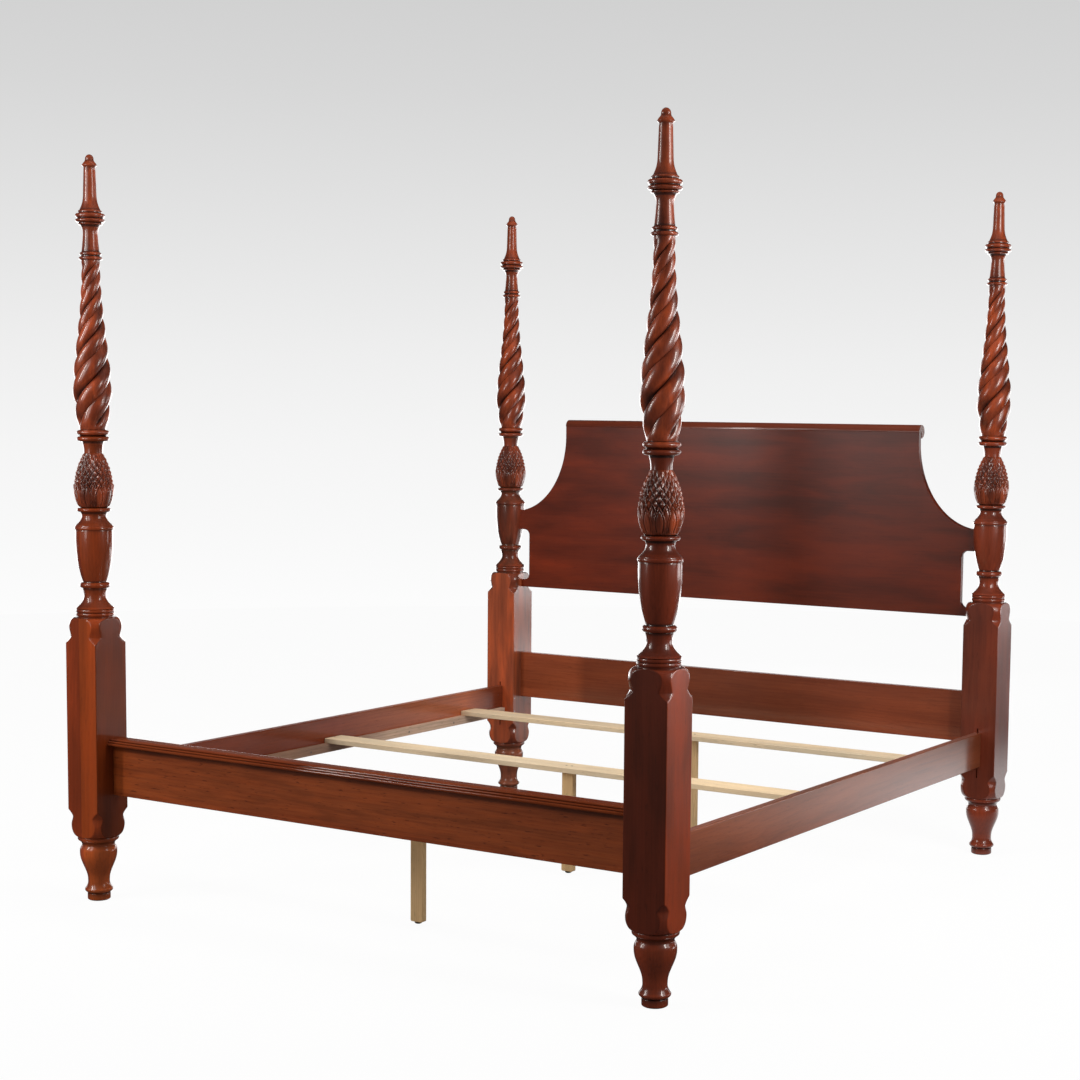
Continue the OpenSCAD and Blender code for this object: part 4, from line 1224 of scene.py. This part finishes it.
def make_world():
    world = bpy.data.worlds.new("studio")
    bpy.context.scene.world = world
    g = Graph(world)
    ray = g.add("TexCoord").outputs["Generated"]
    up = g.add("SeparateXYZ", {0: ray}).outputs[2]
    lo, hi = BACKDROP[0][0], BACKDROP[-1][0]
    place = g.remap(up, lo, hi)
    seen = g.ramp(place, [((s - lo) / (hi - lo), linear(v, v, v)) for s, v in BACKDROP])

    def between(value, pair):
        (start, low), (end, high) = pair
        return g.remap(value, start, end, low, high)

    ahead = g.vector("DOT_PRODUCT", ray, CAMERA_AHEAD, "Value")
    wall = g.plus(g.times(between(ahead, WALL_WIDTH), between(up, WALL_HEIGHT)), ROOM_GLOSS)
    toward = g.vector("DOT_PRODUCT", ray, WINDOW_AHEAD, "Value")
    wall = g.plus(between(toward, WINDOW_WIDTH), wall)
    path = g.add("LightPath").outputs
    light = g.mix(path["Is Glossy Ray"], grey(AMBIENT), wall)
    colour = g.mix(path["Is Camera Ray"], light, seen)
    back = g.add("Background", {"Color": colour, "Strength": 1.0})
    g.add("OutputWorld", {"Surface": back.outputs[0]})


FLOOR_R = 9.0
FLOOR_GLOW = 0.95
FLOOR_BOUNCE = 0.36
FLOOR_TONES = (0.80, 0.82)
# Patches where the floor glows to glossy rays only, painted reflections that the finish
# mirrors: centre, near and far radius in metres, brightness, which falls off faster than straight
MIRRORED_FLOOR_GLOW = [((1.0, 2.3), 0.7, 1.9, 1.3), ((-3.0, 6.0), 2.0, 4.5, 3.6),
                 ((1.0, 5.3), 0.7, 1.35, 6.0)]
PATCH_FALL = 1.6


def make_floor():
    """Pale round floor whose shadow stays faint to the camera, and which glows in patches to glossy
    rays: painted reflections.
    """
    a = full_turn(96)
    me = bpy.data.meshes.new("floor")
    me.from_pydata([(x, y, 0.0) for x, y in arc(0, 0, FLOOR_R, a)], [], [tuple(range(len(a)))])
    floor = add_object("floor", me)
    mat = bpy.data.materials.new("pale_floor")
    g = Graph(mat)
    place = g.add("TexCoord").outputs["Object"]
    cloud = g.remap(g.noise(place, 1.5, 2.0), 0.3, 0.7)
    path = g.add("LightPath").outputs
    seen = g.mix(cloud, *map(grey, FLOOR_TONES))
    tone = g.mix(path["Is Camera Ray"], grey(FLOOR_BOUNCE), seen)
    matt = g.add("BsdfDiffuse", {"Color": tone, "Roughness": 0.6})
    glow = g.add("Emission", {"Color": grey(1.0), "Strength": 1.0})
    share = g.times(path["Is Camera Ray"], FLOOR_GLOW)
    both = g.add("MixShader", {0: share, 1: matt.outputs[0], 2: glow.outputs[0]})
    glossy_glow = ROOM_GLOSS
    for centre, near, far, bright in MIRRORED_FLOOR_GLOW:
        away = g.vector("DISTANCE", place, (*centre, 0.0), "Value")
        patch = g.math("POWER", g.remap(away, near, far, 1.0, 0.0), PATCH_FALL)
        glossy_glow = g.plus(g.times(patch, bright), glossy_glow)
    floor_reflection_glow = g.add("Emission", {"Color": grey(1.0), "Strength": glossy_glow})
    last = g.add("MixShader", {0: path["Is Glossy Ray"], 1: both.outputs[0], 2: floor_reflection_glow.outputs[0]})
    g.add("OutputMaterial", {"Surface": last.outputs[0]})
    dress(floor, mat)


def make_lights():
    """Tall narrow lamps left and right for the lines on the turnings, and fill."""
    softbox("key_left", (-2.15, -3.1, 2.2), (-0.6, -0.8, 1.2), (0.22, 1.8), 30.0)
    softbox("key_left_wide", (-1.2, -3.2, 2.0), (-0.3, -0.8, 1.2), (0.6, 2.2), 4.2)
    softbox("key_right", (3.4, -0.9, 2.2), (0.6, 0.2, 1.2), (0.3, 1.8), 26.0)
    softbox("key_right_wide", (3.4, -0.1, 2.0), (0.7, 0.4, 1.2), (0.9, 2.0), 3.4)
    # these two light the wood but don't show in its finish
    sheet = softbox("top_sheet", (0.3, 0.0, 4.4), (0.0, 0.2, 0.4), (3.4, 3.4), 2.5)
    fill = softbox("back_fill", (-1.6, 5.0, 2.2), (0.0, 0.5, 0.9), (3.0, 2.0), 2.2)
    sheet.visible_glossy = fill.visible_glossy = False


# ------------------------------------------------------------------ the bed
def place_piece(ob, mat, slot, nodes, body="bedstead"):
    """Dresses a piece that rides on a body and stands for CAD nodes."""
    dress(ob, mat)
    if "recess" not in ob.data.attributes:
        recess_layer(ob.data, 0.0)
    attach(ob, body)
    if nodes:
        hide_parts(*nodes)


def add_piece(name, mesh, mat, slot, nodes, place=(0, 0, 0), body="bedstead"):
    place_piece(add_object(name, mesh, place), mat, slot, nodes, body)


def build_posts(woods):
    shaft, tip, pine = upper_post_mesh(), finial_mesh(), pineapple_mesh()
    for corner, (sx, sy) in CORNERS.items():
        place_piece(lower_post(corner), woods[corner], "cherry", [corner + "_lower_post"])
        for name, mesh, node in (("_pineapple", pine, "_lower_post"), ("_twist", shaft, "_upper_post"),
                                 ("_finial_turning", tip, "_finial")):
            add_piece(corner + name, mesh, woods["turned"], "cherry", [corner + node],
                      (sx * HALF_X, sy * HALF_Y, 0))


def build_boards(woods):
    name = "headboard_boards"
    panel = outline_plank(name, panel_points(), HALF_Y - PANEL_T / 2, HALF_Y + PANEL_T / 2, 2.2)
    add_piece(name, panel, woods["panel"], "headboard_cherry", ["headboard_panel"])
    name = "headboard_top_roll"
    roll = swept_bar(name, roll_section(), -ROLL_L / 2, ROLL_L / 2, 1.2)
    add_piece(name, roll, woods["roll"], "headboard_cherry", ["headboard_roll"])
    for name, node, y, z, h in (
            ("head_rail_board", "head_rail", HALF_Y, HEAD_RAIL_Z, HEAD_RAIL_H),
            ("footboard_board", "footboard", FOOT_RAIL_Y, FOOT_RAIL_Z, FOOT_RAIL_H)):
        rail = board_mesh(name, [
            ((-INNER_X, y - RAIL_T / 2, z), (INNER_X, y + RAIL_T / 2, z + h)),
            tenon_box(-INNER_X - TENON_L, -INNER_X + TENON_SUNK, y, z, h),
            tenon_box(INNER_X - TENON_SUNK, INNER_X + TENON_L, y, z, h)], 1.6)
        add_piece(name, rail, woods[node], "cherry", [node])
    name = "footboard_moulding"
    section, deep = cap_section()
    cap = swept_bar(name, section, -INNER_X, INNER_X, 0.4, deep)
    add_piece(name, cap, woods["cap"], "cherry", ["footboard_cap"])


def build_rails(woods):
    half = INNER_Y - LEDGER_END_GAP
    for sx, side in ((-1, "left"), (1, "right")):
        inner = sx * RAIL_INNER_X
        rail = board_mesh("rail_" + side, [
            ((inner, -INNER_Y, SIDE_RAIL_Z),
             (inner + sx * RAIL_T, INNER_Y, SIDE_RAIL_Z + SIDE_RAIL_H))], 2.0)
        add_piece("side_board_" + side, rail, woods["rail_" + side], "cherry", ["side_rail_" + side])
        strip = board_mesh("ledger_" + side, [
            ((inner - sx * LEDGER_T, -half, LEDGER_Z), (inner, half, LEDGER_Z + LEDGER_H))], 1.2)
        add_piece("slat_ledger_" + side, strip, woods["ledger"], "cherry", ["ledger_" + side])


def row_places():
    """Each slat row's name and place along the bed."""
    return [(row, (i - 1) * SLAT_PITCH) for i, row in enumerate(ROWS)]


def build_slats(woods):
    for row, y in row_places():
        slat = board_mesh("slat_" + row, [
            ((-SLAT_L / 2, y - SLAT_W / 2, SLAT_Z), (SLAT_L / 2, y + SLAT_W / 2, SLAT_Z + SLAT_T))], 1.8)
        add_piece("pine_slat_" + row, slat, woods["slat_" + row], "pine", ["slat_" + row])
        leg = outline_plank("leg_" + row, leg_points(), y - LEG_T / 2, y + LEG_T / 2, 1.4)
        add_piece("pine_leg_" + row, leg, woods["leg_" + row], "pine", ["centre_leg_" + row])


def build_screws(steel):
    """Heads of the screws down through the slats and of those in the ledgers' sides."""
    ledger_x, leg_x = RAIL_INNER_X - LEDGER_T / 2, LEG_W / 4
    lift = [Matrix.Translation((x, y, SLAT_Z + SLAT_T))
            for pair in ((-ledger_x, ledger_x), (LEG_OFFSET - leg_x, LEG_OFFSET + leg_x))
            for _, y in row_places() for x in pair]
    half = INNER_Y - LEDGER_END_GAP - LEDGER_SCREW_IN
    side = [Matrix.Translation((sx * (RAIL_INNER_X - LEDGER_T), y, LEDGER_Z + LEDGER_H * 0.4))
            @ Matrix.Rotation(-sx * math.pi / 2, 4, "Y")
            for sx in (-1, 1) for y in half * np.linspace(-1, 1, LEDGER_SCREWS)]
    for name, places in (("slat_screw_heads", lift), ("ledger_screw_heads", side)):
        add_piece(name, screw_head_mesh(name, places), steel, "steel", [])


def build_glides(nylon, steel):
    for row, y in row_places():
        for name, make, mat, slot in (("glide_pad_", glide_mesh, nylon, "nylon"),
                                      ("glide_thread_", stem_mesh, steel, "steel")):
            add_piece(name + row, make(name + row), mat, slot, ["leg_glide_" + row],
                      (LEG_OFFSET, y, 0), "glide_" + row)


FLAT_EDGE = 0.0006
# Each lower post's shift in the timber, the tone of what is turned, and factors for
# its -Y flat, its +X flat and its foot, then its own boards and patches. The flats'
# factors are partly the timber's own tone and partly painted light and shade; the
# foot's factor is painted light, lifting the foot that the lamps reach less.
POST_TONES = {
    "front_left": ((0.2, 0.4, 0.3), (0.180, 0.025, 0.0070), (1.22, 1.25, 0.9), (0.58, 0.58, 0.45),
                   (1.75, 2.2, 2.4), [("x", -0.005, FLAT_EDGE, (1.26, 1.40, 0.9))]),
    "front_right": ((0.7, 0.2, 0.9), (0.136, 0.020, 0.0060), (0.70, 0.68, 0.62),
                    (1.70, 1.65, 1.2), (1.3, 1.4, 1.4)),
    "head_left": ((0.5, 0.8, 0.1), (0.19, 0.036, 0.015), (1.9, 2.1, 1.9), (1.3, 1.6, 1.6),
                  (1.6, 2.4, 2.8), (), (20.0, 3.0, 0.7)),
    "head_right": ((0.1, 0.6, 0.7), (0.20, 0.034, 0.013), (0.66, 0.72, 0.85), (0.8, 0.7, 0.55),
                   (1.1, 1.05, 1.0)),
}


def post_wood(corner, shift, tone, front, side, foot, boards=(), patch=(14.0, 3.0, 0.35)):
    """Cherry of a lower post, which has its dark and light tone round the middle one."""
    flat = (BLOCK_HALF - 0.8) * MM
    front, foot = np.array(front), np.array(foot)
    base = np.array(tone) * front * foot
    turned_part = ("y", -flat, FLAT_EDGE, 1 / front)
    # the foot's painted lightening ends here
    painted_foot_light_end = ("z", (FOOT_H - 10) * MM, 0.02, 1 / foot)
    return wood_material(
        "post_cherry_" + corner, scaled(base, 0.72), scaled(base, 1.35), "z", shift, rings=0.2,
        boards=[turned_part, painted_foot_light_end, ("x", flat, FLAT_EDGE, side), *boards], patch=patch)


def make_woods():
    """Every timber of the bed. The dark and light tones are sRGB, 0 to 255."""
    woods = {corner: post_wood(corner, *values) for corner, values in POST_TONES.items()}
    woods |= {
        "turned": wood_material(
            "turned_cherry", linear(102, 34, 14), linear(154, 68, 33), "z", (0.3, 0.1, 0.0),
            rings=0.12, patch=(24.0, 9.0, 0.7), coat_rough=0.17, specular=0.35),
        "panel": wood_material(
            "headboard_cherry_wood", linear(94, 29, 10), linear(121, 43, 15), "x",
            (0.2, 0.1, 0.4), rings=0.16, figure=0.4, coat=0.34, coat_rough=0.26,
            patch=(13.0, 2.8, 0.48),
            boards=[("z", 0.905, 0.002, (1.08, 1.06, 1.04)), ("z", 1.018, 0.002, (0.94, 0.94, 0.96)),
                    ("z", 1.142, 0.002, (0.97, 0.97, 0.97)), ("z", 1.225, 0.002, (0.86, 0.88, 0.92)),
                    ("z", 1.290, 0.002, (1.14, 1.10, 1.06)), ("z", 1.392, 0.002, (0.9, 0.92, 1.0)),
                    ("x", -0.2, 0.8, (0.64, 0.66, 0.70))]),
        "roll": wood_material(
            "roll_cherry_wood", linear(84, 31, 17), linear(112, 49, 28), "x", (0.6, 0.3, 0.2),
            rings=0.16),
        "head_rail": wood_material(
            "head_rail_cherry", linear(124, 52, 26), linear(168, 84, 48), "x",
            (0.4, 0.3, 0.8), rings=0.2,
            boards=[("x", -0.655, 0.05, (0.66, 0.64, 0.64)), ("x", -0.2, 0.5, (0.82, 0.85, 0.9)),
                    ("x", 0.35, 0.5, (1.5, 1.4, 1.35))]),
        "footboard": wood_material(
            "footboard_cherry", linear(122, 48, 17), linear(156, 75, 34), "x",
            (0.9, 0.6, 0.2), rings=0.25, patch=(40.0, 5.0, 0.3), flecks=0.8,
            # from 0.467 m up, under the cap's nose, the board is darkened: painted shade; from 0.347 m
            # up it is a little less red than the lowest strip
            boards=[("z", 0.347, 0.0015, (1.0, 1.06, 1.1)), ("z", 0.467, 0.005, (0.5, 0.48, 0.48))]),
        "cap": wood_material(
            "cap_cherry", linear(98, 36, 16), linear(138, 66, 34), "x", (0.3, 0.9, 0.5),
            rings=0.2, coat=0.9, coat_rough=0.08, specular=0.0),
        "rail_left": wood_material(
            "left_rail_cherry", linear(88, 30, 12), linear(124, 53, 26), "y",
            (0.3, 0.2, 0.1), rings=0.2, coat=0.35,
            # towards the head the rail turns lighter and greyer: a painted sheen; at the head end it
            # turns darker again
            boards=[("y", 0.3, 0.6, (2.7, 4.2, 5.2)), ("y", 0.86, 0.16, (0.4, 0.3, 0.3))]),
        "rail_right": wood_material(
            "right_rail_cherry", linear(104, 44, 22), linear(146, 76, 46), "y",
            (0.8, 0.5, 0.3), rings=0.2, coat_ior=1.9,
            boards=[("y", -0.7, 0.9, (1.1, 1.25, 1.3))]),
        "ledger": wood_material(
            "ledger_cherry", linear(112, 82, 66), linear(156, 124, 106), "y", (0.2, 0.7, 0.4),
            # the ledger turns much lighter and greyer towards the head
            rings=0.3, gloss=0.5, coat=0.0, boards=[("y", 0.18, 0.25, (2.35, 2.8, 3.0))]),
    }
    bare_pine = {"rings": 0.5, "ring_step": 0.0042, "figure": 0.4, "streak": 0.3, "gloss": 0.55,
                 "coat": 0.0, "glaze_and_shade": 0.3, "pith": (0.03, 0.06), "bump": 0.5, "specular": 0.3}
    for i, row in enumerate(ROWS):
        woods["slat_" + row] = wood_material(
            "pine_slat_" + row, linear(233, 201, 158), linear(250, 236, 210), "x",
            (0.3 + 0.37 * i, 0.2 + 0.11 * i, 0.5), knots=0.75, **bare_pine)
        woods["leg_" + row] = wood_material(
            "pine_leg_" + row, linear(216, 172, 118), linear(242, 212, 165), "z",
            (0.2 + 0.29 * i, 0.4 + 0.17 * i, 0.1), knots=0.6, **bare_pine)
    return woods


def main():
    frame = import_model()
    woods = make_woods()
    steel = steel_material("brushed_steel_pins", 0.30, 0.34)
    zinc = steel_material("screw_steel", 0.16, 0.4)
    build_posts(woods)
    build_boards(woods)
    build_rails(woods)
    build_slats(woods)
    build_screws(zinc)
    build_glides(nylon_material("glide_nylon"), steel)
    for name, ob in frame["nodes"].items():
        if not ob.hide_render:
            dress(ob, zinc if "screw" in name else steel)
    make_camera()
    make_world()
    make_lights()
    make_floor()
    bpy.context.scene.view_settings.view_transform = "Standard"
    bpy.context.view_layer.update()


main()
